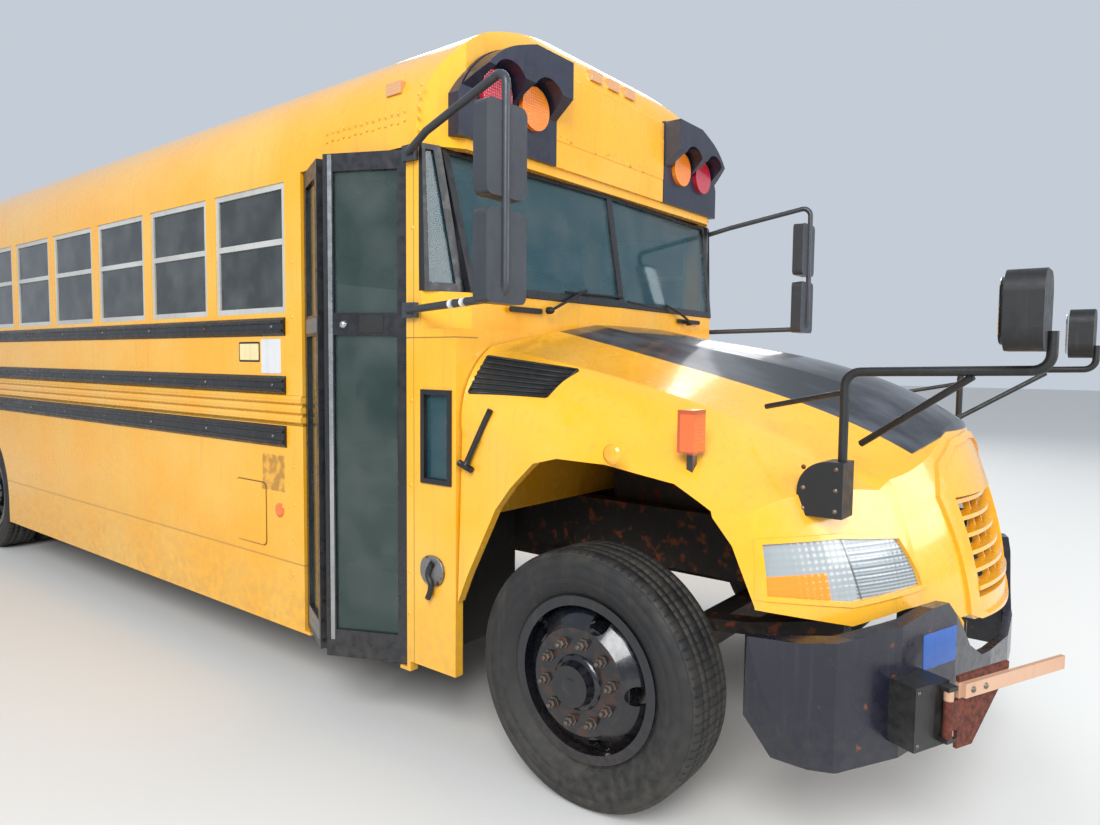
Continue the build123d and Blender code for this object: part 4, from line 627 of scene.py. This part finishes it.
def sweep(path, radius, sides=10):
    """A round bar along a path: p(s) + radius (n cos t + b sin t), with n and b square to the path."""
    path = np.array(path, float)
    radius = np.broadcast_to(np.array(radius, float), len(path))
    along = np.gradient(path, axis=0)
    along /= np.linalg.norm(along, axis=1, keepdims=True)
    guide = np.array([0.0, 0.0, 1.0]) if abs(along[:, 2]).max() < 0.9 else np.array([0.31, 0.95, 0.05])
    n = np.cross(along, guide)
    n /= np.linalg.norm(n, axis=1, keepdims=True)
    b = np.cross(along, n)
    t = np.linspace(0, 2 * pi, sides, endpoint=False)
    ring = n[:, None] * np.cos(t)[None, :, None] + b[:, None] * np.sin(t)[None, :, None]
    points = (path[:, None] + radius[:, None, None] * ring).reshape(-1, 3)
    caps = [np.arange(sides)[::-1], np.arange(sides) + len(points) - sides]
    return points, list(grid_faces(len(path), sides, wrap=True)) + caps


def smoothed(corners, steps=8):
    """A rounded line through corners: quadratic arcs between the middles of its runs."""
    corners = np.array(corners, float)
    middles = (corners[:-1] + corners[1:]) / 2
    starts = np.vstack([corners[:1], middles[1:-1]])
    ends = np.vstack([middles[1:-1], corners[-1:]])
    s = np.linspace(0, 1, steps)[None, :, None]
    bends = corners[1:-1][:, None]
    curve = (1 - s) ** 2 * starts[:, None] + 2 * s * (1 - s) * bends + s ** 2 * ends[:, None]
    curve = curve.reshape(-1, 3)
    moved = np.abs(np.diff(curve, axis=0)).sum(1) > 1e-6
    return curve[np.r_[True, moved]]


# %% [markdown]
# ## Plates and rivet heads
#
# A plate is one outline lifted twice, the second time drawn in. One formula gives all the
# rivet heads of a group at once.

# %%
def plate(centre, size, thickness, right=(1, 0, 0), up=(0, 0, 1), radius=0.01, edge=0.002, corner_steps=5):
    """A flat plate with rounded corners and softened edges.

    Its outline is a rectangle whose corners are quarter circles of one radius, and it rises
    along right x up, the way that it faces.
    """
    right, up = np.array(right, float), np.array(up, float)
    out = np.cross(right, up)
    t = np.linspace(0, pi / 2, corner_steps)
    quarter = np.arange(4)[:, None] * pi / 2 + t[None]
    signs = np.array([(1, 1), (-1, 1), (-1, -1), (1, -1)])
    rings = []
    for inset, height in ((0.0, 0.0), (0.0, thickness - edge), (edge, thickness)):
        r = max(radius - inset, 0.0005)
        half = np.array(size) / 2 - inset - r
        x = signs[:, :1] * half[0] + r * np.cos(quarter)
        y = signs[:, 1:] * half[1] + r * np.sin(quarter)
        rings.append(x.reshape(-1, 1) * right + y.reshape(-1, 1) * up + height * out)
    count = len(rings[0])
    points = np.concatenate(rings) + np.array(centre)
    back, front = np.arange(count)[::-1], np.arange(count) + 2 * count
    return points, list(grid_faces(3, count, wrap=True)) + [back, front]


def domes(places, out, radius, height, rings=4, sides=10):
    """Rounded rivet heads at many places, all facing one way.

    A head is the cap (radius sin a cos t, radius sin a sin t, height cos a), a from 0 to pi/2.
    """
    out = np.array(out, float) / np.linalg.norm(out)
    side_way = np.cross(out, (0.0, 0.3, 1.0) if abs(out[2]) < 0.9 else (1.0, 0.0, 0.0))
    side_way /= np.linalg.norm(side_way)
    other = np.cross(out, side_way)
    turn = np.linspace(0, 2 * pi, sides, endpoint=False)
    a, t = np.meshgrid(np.linspace(0.05, pi / 2, rings), turn, indexing="ij")
    flat = (radius * np.sin(a) * np.cos(t))[..., None] * side_way
    flat = flat + (radius * np.sin(a) * np.sin(t))[..., None] * other
    cap = (flat + (height * np.cos(a))[..., None] * out).reshape(-1, 3)
    places = np.array(places, float).reshape(-1, 3)
    points = (places[:, None] + cap[None]).reshape(-1, 3)
    faces = grid_faces(rings, sides, wrap=True)
    steps = np.arange(len(places)) * len(cap)
    tops = np.arange(sides)[::-1][None] + steps[:, None]
    walls = (faces[None] + steps[:, None, None]).reshape(-1, 4)
    return points, list(walls) + list(tops)


def row(start, end, count):
    """Places evenly spaced along a line."""
    return np.linspace(start, end, count)


def placed(*places):
    """Points from distances ahead of the front axle, sides and heights."""
    return [np.array((ahead(x), y, z)) for x, y, z in places]


def between(first, last, share):
    """What lies this share of the way from one point to another."""
    return np.array(first) + (np.array(last) - np.array(first)) * share


print("mesh tools ready")

# %% [markdown]
# ## Tyres
#
# Each tyre is turned from a profile: bead, bulging wall with moulded rings, shoulder, and
# a tread with four grooves 10 mm deep.

# %%
HALF_PROFILE = np.array([
    (0.2866, 0.06), (0.2866, 0.084), (0.3035, 0.0848), (0.3065, 0.0905), (0.313, 0.0965), (0.325, 0.106),
    (0.345, 0.1165), (0.364, 0.1232), (0.366, 0.1225), (0.368, 0.124), (0.385, 0.1262), (0.405, 0.1258),
    (0.407, 0.124), (0.411, 0.124), (0.413, 0.125), (0.428, 0.1222), (0.44, 0.1175), (0.4425, 0.114),
    (0.446, 0.113), (0.4485, 0.114), (0.456, 0.106), (0.46, 0.098), (0.4615, 0.088), (0.4622, 0.07),
    (0.452, 0.068), (0.452, 0.061), (0.4624, 0.059), (0.4627, 0.033), (0.4525, 0.031), (0.4525, 0.024),
    (0.4628, 0.022), (0.4629, 0.0),
])
TYRE_SIDES = 128


def tyre(centre):
    """A whole tyre from the half profile and its mirror image, closed through the bore."""
    mirror_image = HALF_PROFILE[::-1][1:] * (1, -1)
    loop = np.concatenate([HALF_PROFILE, mirror_image, HALF_PROFILE[:1]])
    return lathe(loop, centre, TYRE_SIDES)


SIDES = ((-1, "right"), (1, "left"))
for side, hand in SIDES:
    single = tyre((FRONT_AXLE_X, side * FRONT_WHEEL_Y, HUB_Z))
    front = piece("round_tyre_front_" + hand, single, steer_tyre, f"wheel_front_{hand}_body")
    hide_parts("tyre_front_" + hand)
    twins = joined([tyre((REAR_AXLE_X, side * offset, HUB_Z)) for offset in REAR_WHEEL_Y])
    rear = piece("round_tyres_rear_" + hand, twins, drive_tyre, f"wheels_rear_{hand}_body")
    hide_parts("tyres_rear_" + hand)

# %% [markdown]
# ## Wheel nuts and hubs
#
# Ten nuts stand on a 285.75 mm circle. Each is a washer, a hexagon and the end of its stud.
# The rear axle's end plate carries eight smaller ones.

# %%
NUTS = 10
STUD_CIRCLE = 0.14288
FRONT_DISC = 0.120
REAR_DISC = 0.064
AXLE_END = 0.045
AXLE_NUTS = 8
AXLE_STUD_CIRCLE = 0.082
AXLE_NUT_SCALE = 0.55
NUT_PROFILE = ((0.0, 0.0), (0.021, 0.0), (0.021, 0.004), (0.0165, 0.005), (0.0165, 0.022), (0.0135, 0.026),
               (0.0095, 0.027), (0.0095, 0.038), (0.007, 0.041), (0.0, 0.041))


def nuts(centre, way, count=NUTS, circle=STUD_CIRCLE, scale=1.0):
    """Nuts round a wheel's centre, facing along Y."""
    profile = np.array(NUT_PROFILE) * scale
    angles = np.arange(count) * 2 * pi / count + 0.15
    ring = np.stack([circle * np.cos(angles), np.zeros(count), circle * np.sin(angles)], -1)
    return joined([lathe(profile, place, 6, way) for place in ring + np.array(centre)])


HUB_CAP = ((0.0, 0.052), (0.028, 0.052), (0.034, 0.049), (0.045, 0.047), (0.047, 0.040), (0.060, 0.038),
           (0.064, 0.030), (0.074, 0.026), (0.078, 0.016), (0.084, 0.012), (0.096, 0.010), (0.100, 0.0))
AXLE_FLANGE = ((0.0, 0.030), (0.060, 0.030), (0.066, 0.024), (0.100, 0.020), (0.104, 0.0))

for side, hand in SIDES:
    front_body, rear_body = f"wheel_front_{hand}_body", f"wheels_rear_{hand}_body"
    face_y = side * (FRONT_WHEEL_Y + FRONT_DISC)
    piece(f"nuts_front_{hand}", nuts((FRONT_AXLE_X, face_y, HUB_Z), side), bolt_steel, front_body, False)
    cap = lathe(HUB_CAP, (FRONT_AXLE_X, face_y - side * 0.001, HUB_Z), 48, side)
    piece(f"hub_cap_{hand}", cap, steer_wheel_paint, front_body)
    face_y = side * (REAR_WHEEL_Y[0] - REAR_DISC)
    piece(f"nuts_rear_{hand}", nuts((REAR_AXLE_X, face_y, HUB_Z), side), bolt_steel, rear_body, False)
    flange_y = side * (REAR_WHEEL_Y[0] + AXLE_END)
    flange = lathe(AXLE_FLANGE, (REAR_AXLE_X, flange_y, HUB_Z), 48, side)
    stud_foot = (REAR_AXLE_X, flange_y + side * 0.02, HUB_Z)
    studs = nuts(stud_foot, side, AXLE_NUTS, AXLE_STUD_CIRCLE, AXLE_NUT_SCALE)
    piece(f"axle_flange_{hand}", joined([flange, studs]), drive_wheel_paint, rear_body, False)
print("nuts per wheel:", NUTS)

# %% [markdown]
# ## Seats
#
# A school bench is foam under vinyl. Each pad is a rounded box: a sphere whose sine and
# cosine are raised to a small power, crowned at its middle and nipped in by a sewn seam.

# %%
WINDOW_PITCH = 0.711
BENCH_ROWS = 10
FIRST_BENCH = -2.1
DRIVER_BENCH = -1.56
BENCH_Y = (0.206, 1.162)
DRIVER_Y = (0.312, 0.808)
BACK_X = (-0.105, 0.015)
BACK_Z = (1.43, 2.165)
BACK_LEAN = -0.035
BENCH_CUSHION = ((0.062, 0.46), (1.422, 1.538))
BENCH_ROUNDNESS = 0.22
DRIVER_CUSHION = ((0.062, 0.5), (1.482, 1.598))
DRIVER_ROUNDNESS = 0.3


def pad(low, high, power, lean=0.0, steps=(26, 36)):
    """A stuffed pad that fills a box.

    p = (a C(v) C(u), b C(v) S(u), c S(v)), where C and S are cosine and sine raised to a
    power with their sign kept; a seam at v = 0.9 and -0.9 draws it in by 3 percent.
    """
    def raised(value):
        return np.sign(value) * np.abs(value) ** power

    low, high = np.array(low), np.array(high)
    half = (high - low) / 2
    turn = np.linspace(0, 2 * pi, steps[1], endpoint=False)
    v, u = np.meshgrid(np.linspace(-pi / 2, pi / 2, steps[0]), turn, indexing="ij")
    nip = 1 - 0.03 * np.exp(-((np.abs(v) - 0.9) / 0.08) ** 2)
    level = raised(np.cos(v))
    points = np.stack([level * raised(np.cos(u)), level * raised(np.sin(u)), raised(np.sin(v))], -1)
    points = points * half * nip[..., None]
    points[..., 0] += lean * points[..., 2] / half[2]
    faces = grid_faces(*steps, wrap=True)
    return points.reshape(-1, 3) + (low + high) / 2, list(faces)


def bench(x, y, cushion, roundness):
    """The cushion and the back of one seat, between two distances from the centreline."""
    pair = []
    for (x_span, z_span), lean in ((cushion, 0.0), ((BACK_X, BACK_Z), BACK_LEAN)):
        low, high = [(x + x_span[end], y[end], z_span[end]) for end in (0, 1)]
        pair.append(pad(low, high, roundness, lean))
    return pair


pads = []
for row_number in range(BENCH_ROWS):
    row_x = ahead(FIRST_BENCH - row_number * WINDOW_PITCH)
    for side in (-1, 1):
        across = sorted((side * BENCH_Y[0], side * BENCH_Y[1]))
        pads += bench(row_x, across, BENCH_CUSHION, BENCH_ROUNDNESS)
pads += bench(ahead(DRIVER_BENCH), DRIVER_Y, DRIVER_CUSHION, DRIVER_ROUNDNESS)
seat_pads = piece("seat_pads", joined(pads), seat_vinyl, "body")
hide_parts("seats")
print("pads:", len(pads))

# %% [markdown]
# ## Rub rails and rivets
#
# Rub rails are rolled with two ridges and bolted on. The sheets between are riveted to
# the posts.

# %%
SHEET_Y = HALF_WIDTH
RAIL_FACE_Y = HALF_WIDTH + 0.016
RAIL_TAIL_X = -5.015
RAIL_HEIGHTS = ((1.694, 0.088), (1.417, 0.089), (1.165, 0.105))
RIVET = (0.0055, 0.0025)
PIERS = 11
REAR_ARCH_REACH = 0.75


def side_places(pairs, y):
    """Places on a side sheet from pairs of distance ahead of the front axle and height."""
    pairs = np.array(pairs, float).reshape(-1, 2)
    return np.stack([ahead(pairs[:, 0]), np.full(len(pairs), y), pairs[:, 1]], -1)


ridges, rail_bolts = [], []
for side, front_x in ((-1, ahead(-1.684)), (1, ahead(-0.86))):
    for low_z, tall in RAIL_HEIGHTS:
        for share in (0.27, 0.73):
            y, z = side * (RAIL_FACE_Y - 0.003), low_z + share * tall
            ridges.append(sweep(row((RAIL_TAIL_X, y, z), (front_x, y, z), 3), 0.009, 8))
        y, z = side * RAIL_FACE_Y, low_z + tall / 2
        places = row((RAIL_TAIL_X + 0.2, y, z), (front_x - 0.09, y, z), 12)
        rail_bolts.append(domes(places, (0, side, 0), 0.009, 0.005))
piece("rail_ridges", joined(ridges), enamel_black, "body")
piece("rail_bolts", joined(rail_bolts), bolt_steel, "body")

FRONT_POST_RIVETS = [(-0.804, 1.425), (-0.809, 1.082), (-0.818, 0.726), (-0.819, 0.551), (-0.761, 2.572),
                     (-0.761, 2.534), (-0.759, 2.482), (-0.762, 2.44), (-0.798, 2.11), (-0.741, 2.651),
                     (-0.758, 2.618)]
REAR_POST_RIVETS = [(-1.621, 2.032), (-1.626, 1.781), (-1.625, 1.08), (-1.629, 0.9), (-1.64, 0.737),
                    (-1.643, 0.563)]
head_line = list(zip(row(-1.35, -0.845, 14), np.tile((0.0, 0.004), 7)))
head_rivets = [(x, z + lift) for z in (2.568, 2.530) for x, lift in head_line]
piers = WINDOW_PITCH * np.arange(PIERS)
off_arch = [x for x in -1.668 - piers if abs(ahead(x) - REAR_AXLE_X) > REAR_ARCH_REACH]
columns = [(x, z) for x in off_arch for z in np.arange(0.34, 1.16, 0.06)]
columns += [(x, z) for x in -1.65 - piers for z in (1.82, 1.98, 2.1, 2.22, 2.36)]
riveted = []
for side, posts in ((-1, FRONT_POST_RIVETS + REAR_POST_RIVETS), (1, FRONT_POST_RIVETS)):
    for pairs, size in ((posts, (0.009, 0.004)), (head_rivets, (0.006, 0.0025)), (columns, RIVET)):
        riveted.append(domes(side_places(pairs, side * SHEET_Y), (0, side, 0), *size))
piece("side_rivets", joined(riveted), side_paint, "body")
print("rivets in columns on a side:", len(columns))

# %% [markdown]
# ## Plates, flap and reflectors
#
# Two reflectors, two blank plates and the filler flap sit near the entrance; a dark sheet round
# the flap is painted shade in its gap. Ahead of the doors is a round latch with a hook.

# %%

def side_plate(name, low, high, thickness, made, radius=0.008, body="body", y=-SHEET_Y):
    """A plate on the entrance side between two places given as distance ahead and height."""
    (x0, z0), (x1, z1) = low, high
    shape = plate((ahead((x0 + x1) / 2), y, (z0 + z1) / 2), (x1 - x0, z1 - z0), thickness, radius=radius)
    return piece(name, shape, made, body, False)


cream_sheet = plain("cream_sticker", "e8d9a8", "d9c78f", "9a8a5a", (0.3, 0.5))
white_sheet = plain("white_sticker", "d9dadb", "c9cbcc", "8f8c84", (0.3, 0.5))
flap_gap = plain("flap_gap", "5a4018", "6a4c20", "3a2c18", (0.7, 0.9))
reflector_orange = plain("orange_reflector", "e8641c", "ee7a2c", "8a4a24", (0.08, 0.2), coat=0.8)
reflector_amber = plain("amber_reflector", "f3a51e", "f6b53a", "8a6a34", (0.08, 0.2), coat=0.8)
# Painted shade: a dark sheet a little larger than the flap shows the shade in the gap round it.
side_plate("flap_shadow", (-2.134, 0.665), (-1.858, 0.984), 0.002, flap_gap, 0.03)
side_plate("filler_flap", (-2.129, 0.670), (-1.863, 0.979), 0.006, side_paint, 0.026)
side_plate("cream_plate_edge", (-2.088, 1.570), (-1.900, 1.669), 0.0015, black_plastic)
side_plate("cream_plate", (-2.080, 1.578), (-1.908, 1.661), 0.0022, cream_sheet, 0.004)
side_plate("white_plate", (-1.888, 1.515), (-1.722, 1.682), 0.0015, white_sheet, 0.004)
LENS_PROFILE = ((0.0, 0.010), (0.020, 0.009), (0.028, 0.007), (0.030, 0.004), (0.034, 0.004), (0.034, 0.0))
side_spot, hood_spot = placed((-1.745, -SHEET_Y, 0.860), (0.161, -SHEET_Y + 0.004, 1.286))
piece("side_reflector", lathe(LENS_PROFILE, side_spot, 32), reflector_orange, "body")
piece("hood_reflector", lathe(LENS_PROFILE, hood_spot, 32), reflector_amber, "hood_body")
side_plate("latch_plate", (-0.744, 0.693), (-0.612, 0.813), 0.012, galvanised, 0.055)
hook = placed((-0.665, -1.236, 0.79), (-0.70, -1.24, 0.74), (-0.655, -1.24, 0.70), (-0.69, -1.238, 0.643))
piece("latch_hook", sweep(smoothed(hook), 0.012, 10), black_plastic, "body")

# %% [markdown]
# ## Hood latch and wipers
#
# A rubber T-latch holds the hood to the cowl. The wipers rest low on the screen, on pivots
# in the cowl under it.

# %%
handle = row(*placed((-0.540, -1.214, 1.196), (-0.474, -1.214, 1.174)), 4)
strap = smoothed(placed((-0.402, -1.190, 1.405), (-0.44, -1.206, 1.32), (-0.507, -1.214, 1.188)))
piece("hood_strap", joined([sweep(handle, 0.013, 10), sweep(strap, 0.011, 10)]), black_plastic, "hood_body")

WIPER_AHEAD = 0.03
PIVOT_PROFILE = ((0.0, 0.03), (0.012, 0.03), (0.016, 0.02), (0.016, 0.0))
AXIS_AHEAD = ((0, 1, 0), (1, 0, 0), (0, 0, 1))
AXIS_BACK = ((0, -1, 0), (1, 0, 0), (0, 0, 1))

blade_rubber = plain("blade_rubber", "0d0d0e", "151516", "3a3833", (0.5, 0.7))
wipers = []
for corners in (
    ((-0.612, -0.600, 1.812), (-0.640, -0.459, 1.905), (-0.632, 0.005, 1.912), (-0.640, -0.293, 1.925)),
    ((-0.612, 0.690, 1.816), (-0.648, 0.481, 1.876), (-0.636, 0.064, 1.895), (-0.642, 0.466, 1.900)),
):
    pivot, heel, toe, elbow = placed(*[(x + WIPER_AHEAD, y, z) for x, y, z in corners])
    wipers.append(sweep(smoothed([pivot, (pivot + elbow) / 2 + (0.02, 0, 0.01), elbow]), 0.007, 8))
    wipers.append(sweep(row(heel, toe, 12), 0.006, 8))
    wipers.append(lathe(PIVOT_PROFILE, pivot - (0.02, 0, 0), 20, 1, AXIS_AHEAD))
piece("wipers", joined(wipers), blade_rubber, "body")
print("wiper parts:", len(wipers))

# %% [markdown]
# ## Entrance doors
#
# A leaf's own line runs from its hinge, 25 degrees out from the side. The front leaf has
# a bright steel edge strip with a rubber lip, a lock and a blank plate on its middle rail.

# %%
DOOR_ANGLE = radians(25)
LEAF_Y = -1.199
LEAF_FACE = 0.015


def leaf_run(way):
    """The direction in which a leaf runs from its hinge."""
    return np.array((way * cos(DOOR_ANGLE), -sin(DOOR_ANGLE), 0.0))


def on_leaf(pivot_x, way, along, z):
    """A place on a leaf's outer face."""
    face = np.array((-way * sin(DOOR_ANGLE), -cos(DOOR_ANGLE), 0.0))
    return np.array((ahead(pivot_x), LEAF_Y, z)) + leaf_run(way) * along + face * LEAF_FACE


def leaf_plate(name, leaf, along, heights, thickness, made, radius=0.004):
    """A plate on a leaf's outer face, from one distance along it to another."""
    pivot_x, way, body = leaf
    middle = on_leaf(pivot_x, way, sum(along) / 2, sum(heights) / 2)
    size = (abs(along[1] - along[0]), heights[1] - heights[0])
    shape = plate(middle, size, thickness, right=leaf_run(way) * way, radius=radius)
    return piece(name, shape, made, body, False)


FRONT_LEAF = (-0.861, -1, "door_front_body")
REAR_LEAF = (-1.523, 1, "door_rear_body")
leaf_plate("front_edge_strip", FRONT_LEAF, (0.318, 0.338), (0.40, 2.42), 0.003, bright_steel)
leaf_plate("front_edge_rubber", FRONT_LEAF, (0.338, 0.356), (0.40, 2.42), 0.004, black_plastic)
leaf_plate("front_door_plate", FRONT_LEAF, (0.09, 0.20), (1.695, 1.77), 0.002, black_plastic)
leaf_plate("rear_mid_rail", REAR_LEAF, (0.02, 0.275), (1.70, 1.765), 0.002, dull_metal)
leaf_plate("rear_kick_panel", REAR_LEAF, (0.02, 0.275), (0.36, 0.445), 0.002, dull_metal)
LOCK_PROFILE = ((0.0, 0.012), (0.010, 0.012), (0.013, 0.008), (0.018, 0.004), (0.018, 0.0))
LEAF_AXIS = ((cos(DOOR_ANGLE), sin(DOOR_ANGLE), 0), (sin(DOOR_ANGLE), -cos(DOOR_ANGLE), 0), (0, 0, 1))
lock = lathe(LOCK_PROFILE, on_leaf(*FRONT_LEAF[:2], 0.27, 1.73), 24, 1, LEAF_AXIS)
piece("door_lock", lock, bright_steel, "door_front_body")

# %% [markdown]
# ## Front of the bus
#
# The sign over the windscreen is a blank, brighter panel. The bumper has a blank blue
# sticker, and bolts hold the crossing arm's box.

# %%
sign_yellow, tree, shader, where = wear("sign_panel", "f6ab12", "f3b02a", "a8864a", (0.2, 0.36), coat=0.5)
height = axes(tree, where)[3]
specks = limits(tree, noise(tree, where, 60.0, 3.0), 0.62, 0.68)
bottom = below(tree, height, 2.615, 0.02)
overlay(tree, shader, maths(tree, "MULTIPLY", specks, bottom), srgb("6b3a1c"), 0.8)
sticker_blue = plain("blue_sticker", "1c4f9e", "2a5fae", "4d5868", (0.25, 0.45))
FACING_AHEAD = {"right": (0, 1, 0), "up": (0, 0, 1)}
FACING_BACK = {"right": (0, -1, 0), "up": (0, 0, 1)}
SIGN_FACE = ahead(-0.656)

sign = plate((SIGN_FACE, 0, 2.701), (0.96, 0.22), 0.003, radius=0.004, **FACING_AHEAD)
piece("sign_panel", sign, sign_yellow, "body", False)
slots = [plate((ahead(-0.615), y, z), (width, 0.024), 0.006, radius=0.011, **FACING_AHEAD)
         for y, z, width in ((-0.735, 1.807, 0.22), (0.731, 1.823, 0.268))]
piece("cowl_slots", joined(slots), black_plastic, "body", False)
sticker_right = np.array((0.311, 0.950, 0.0))
sticker = plate((ahead(1.0455), -0.651, 0.690), (0.19, 0.115), 0.0015, right=sticker_right, radius=0.004)
piece("bumper_sticker", sticker, sticker_blue, "body", False)

GATE_ANGLE = radians(24)
GATE_PIVOT = placed((1.089, -0.815, 0.0))[0]
gate_run = np.array((sin(GATE_ANGLE), cos(GATE_ANGLE), 0.0))
gate_face = np.array((cos(GATE_ANGLE), -sin(GATE_ANGLE), 0.0))
box_bolts = [GATE_PIVOT + gate_run * along + (0, 0, z) for along in (-0.105, 0.015) for z in (0.468, 0.627)]
piece("gate_box_bolts", domes(box_bolts, gate_face, 0.007, 0.004), bolt_steel, "body")
arm_bolts = [GATE_PIVOT + gate_run * along + gate_face * 0.040 + (0, 0, 0.62) for along in (0.085, 0.145)]
piece("gate_arm_bolts", domes(arm_bolts, gate_face, 0.010, 0.007), bolt_steel, "crossing_arm_body")

# %% [markdown]
# ## Hood vent
#
# The vent's rim, its six bars and their backing lie on the hood's own curve, found by
# looking straight at it.

# %%
hood_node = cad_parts["hood"]


def on_hood(x, z, lift=0.004):
    """The place on the hood's right side at a distance ahead and a height, raised off it."""
    _, place, normal, _ = hood_node.ray_cast(Vector((ahead(x), -2.0, z)), Vector((0, 1, 0)))
    return np.array(place + normal * lift)


VENT = ((-0.519, 1.601), (-0.177, 1.552), (-0.213, 1.456), (-0.524, 1.465))
rim = [on_hood(*corner) for corner in VENT + VENT[:1]]
vent_bars = [sweep(row(start, end, 4), 0.006, 8) for start, end in zip(rim[:-1], rim[1:])]
for share in np.linspace(0.14, 0.86, 6):
    start, end = between(VENT[0], VENT[3], share), between(VENT[1], VENT[2], share)
    line = [on_hood(*between(start, end, s), 0.002) for s in row(0, 1, 9)]
    vent_bars.append(sweep(line, 0.0055, 8))
piece("hood_vent", joined(vent_bars), black_plastic, "hood_body")
across, down = [share[..., None] for share in np.meshgrid(row(0, 1, 9), row(0, 1, 5))]
backing = between(between(VENT[0], VENT[3], down), between(VENT[1], VENT[2], down), across)
backing = np.array([on_hood(x, z, 0.0015) for x, z in backing.reshape(-1, 2)])
piece("vent_backing", (backing, list(grid_faces(5, 9))), black_plastic, "hood_body")
print("bars and edges of the vent:", len(vent_bars))

# %% [markdown]
# ## Mirrors and brackets
#
# Glass goes on the backs of the mirror heads. Two bands of white tape ring the right arm.

# %%
bracket_rivets = placed(*[(x, -0.930, z) for x in (0.690, 0.790) for z in (1.135, 1.20, 1.265)])
piece("bracket_rivets", domes(bracket_rivets, (0, -1, 0), 0.008, 0.004), bolt_steel, "hood_body")
heads = placed(*[(-0.219, side * 1.376, low + 0.153) for side in (-1, 1) for low in (1.776, 2.122)])
glasses = [plate(head, (0.17, 0.27), 0.002, radius=0.03, **FACING_BACK) for head in heads]
piece("side_mirror_glass", joined(glasses), mirror_glass, "body", False)
heads = placed(*[(1.214, side * 0.900, 1.733) for side in (-1, 1)])
glasses = [plate(head, (0.165, 0.18), 0.002, radius=0.04, **FACING_BACK) for head in heads]
piece("hood_mirror_glass", joined(glasses), mirror_glass, "hood_body", False)
tape_white = plain("white_tape", "d8d8d4", "c8c8c2", "8f8c84", (0.4, 0.6))
foot, bend = placed((-0.797, -1.242, 1.784), (-0.157, -1.386, 1.800))
bands = [row(between(foot, bend, share), between(foot, bend, share + 0.045), 3) for share in (0.48, 0.60)]
piece("arm_tape", joined([sweep(band, 0.0165, 16) for band in bands]), tape_white, "body")

# %% [markdown]
# ## Back of the bus
#
# The emergency door has a pull bar, and the rear lamps sit in black rings.

# %%
REAR_WALL_X = -5.0375
BRAKE_Y = 0.980
PULL = ((0.0, 1.72), (0.06, 1.72), (0.06, 1.52), (0.0, 1.52))
bar = smoothed([(REAR_WALL_X - out, -0.24, z) for out, z in PULL])
piece("rear_door_pull", sweep(bar, 0.012, 12), black_plastic, "rear_door_body")
RING = ((0.092, 0.0), (0.112, 0.0), (0.112, 0.010), (0.104, 0.018), (0.094, 0.018), (0.092, 0.0))
lamps = [(REAR_WALL_X, side * BRAKE_Y, z) for side in (-1, 1) for z in (1.62, 1.42)]
rings = [lathe(RING, lamp, 40, 1, AXIS_BACK) for lamp in lamps]
piece("rear_lamp_rings", joined(rings), black_plastic, "body")

# %% [markdown]
# ## Floor of the studio

# %%
floor_paint, _, shader, _ = material("studio_floor")
settle(shader, Base_Color=srgb("d9d8d4"), Roughness=0.8)
reach = 60.0
corners = np.array([(-reach, -reach, 0), (reach, -reach, 0), (reach, reach, 0), (-reach, reach, 0)])
piece("studio_floor", (corners, [np.arange(4)]), floor_paint, None, False)
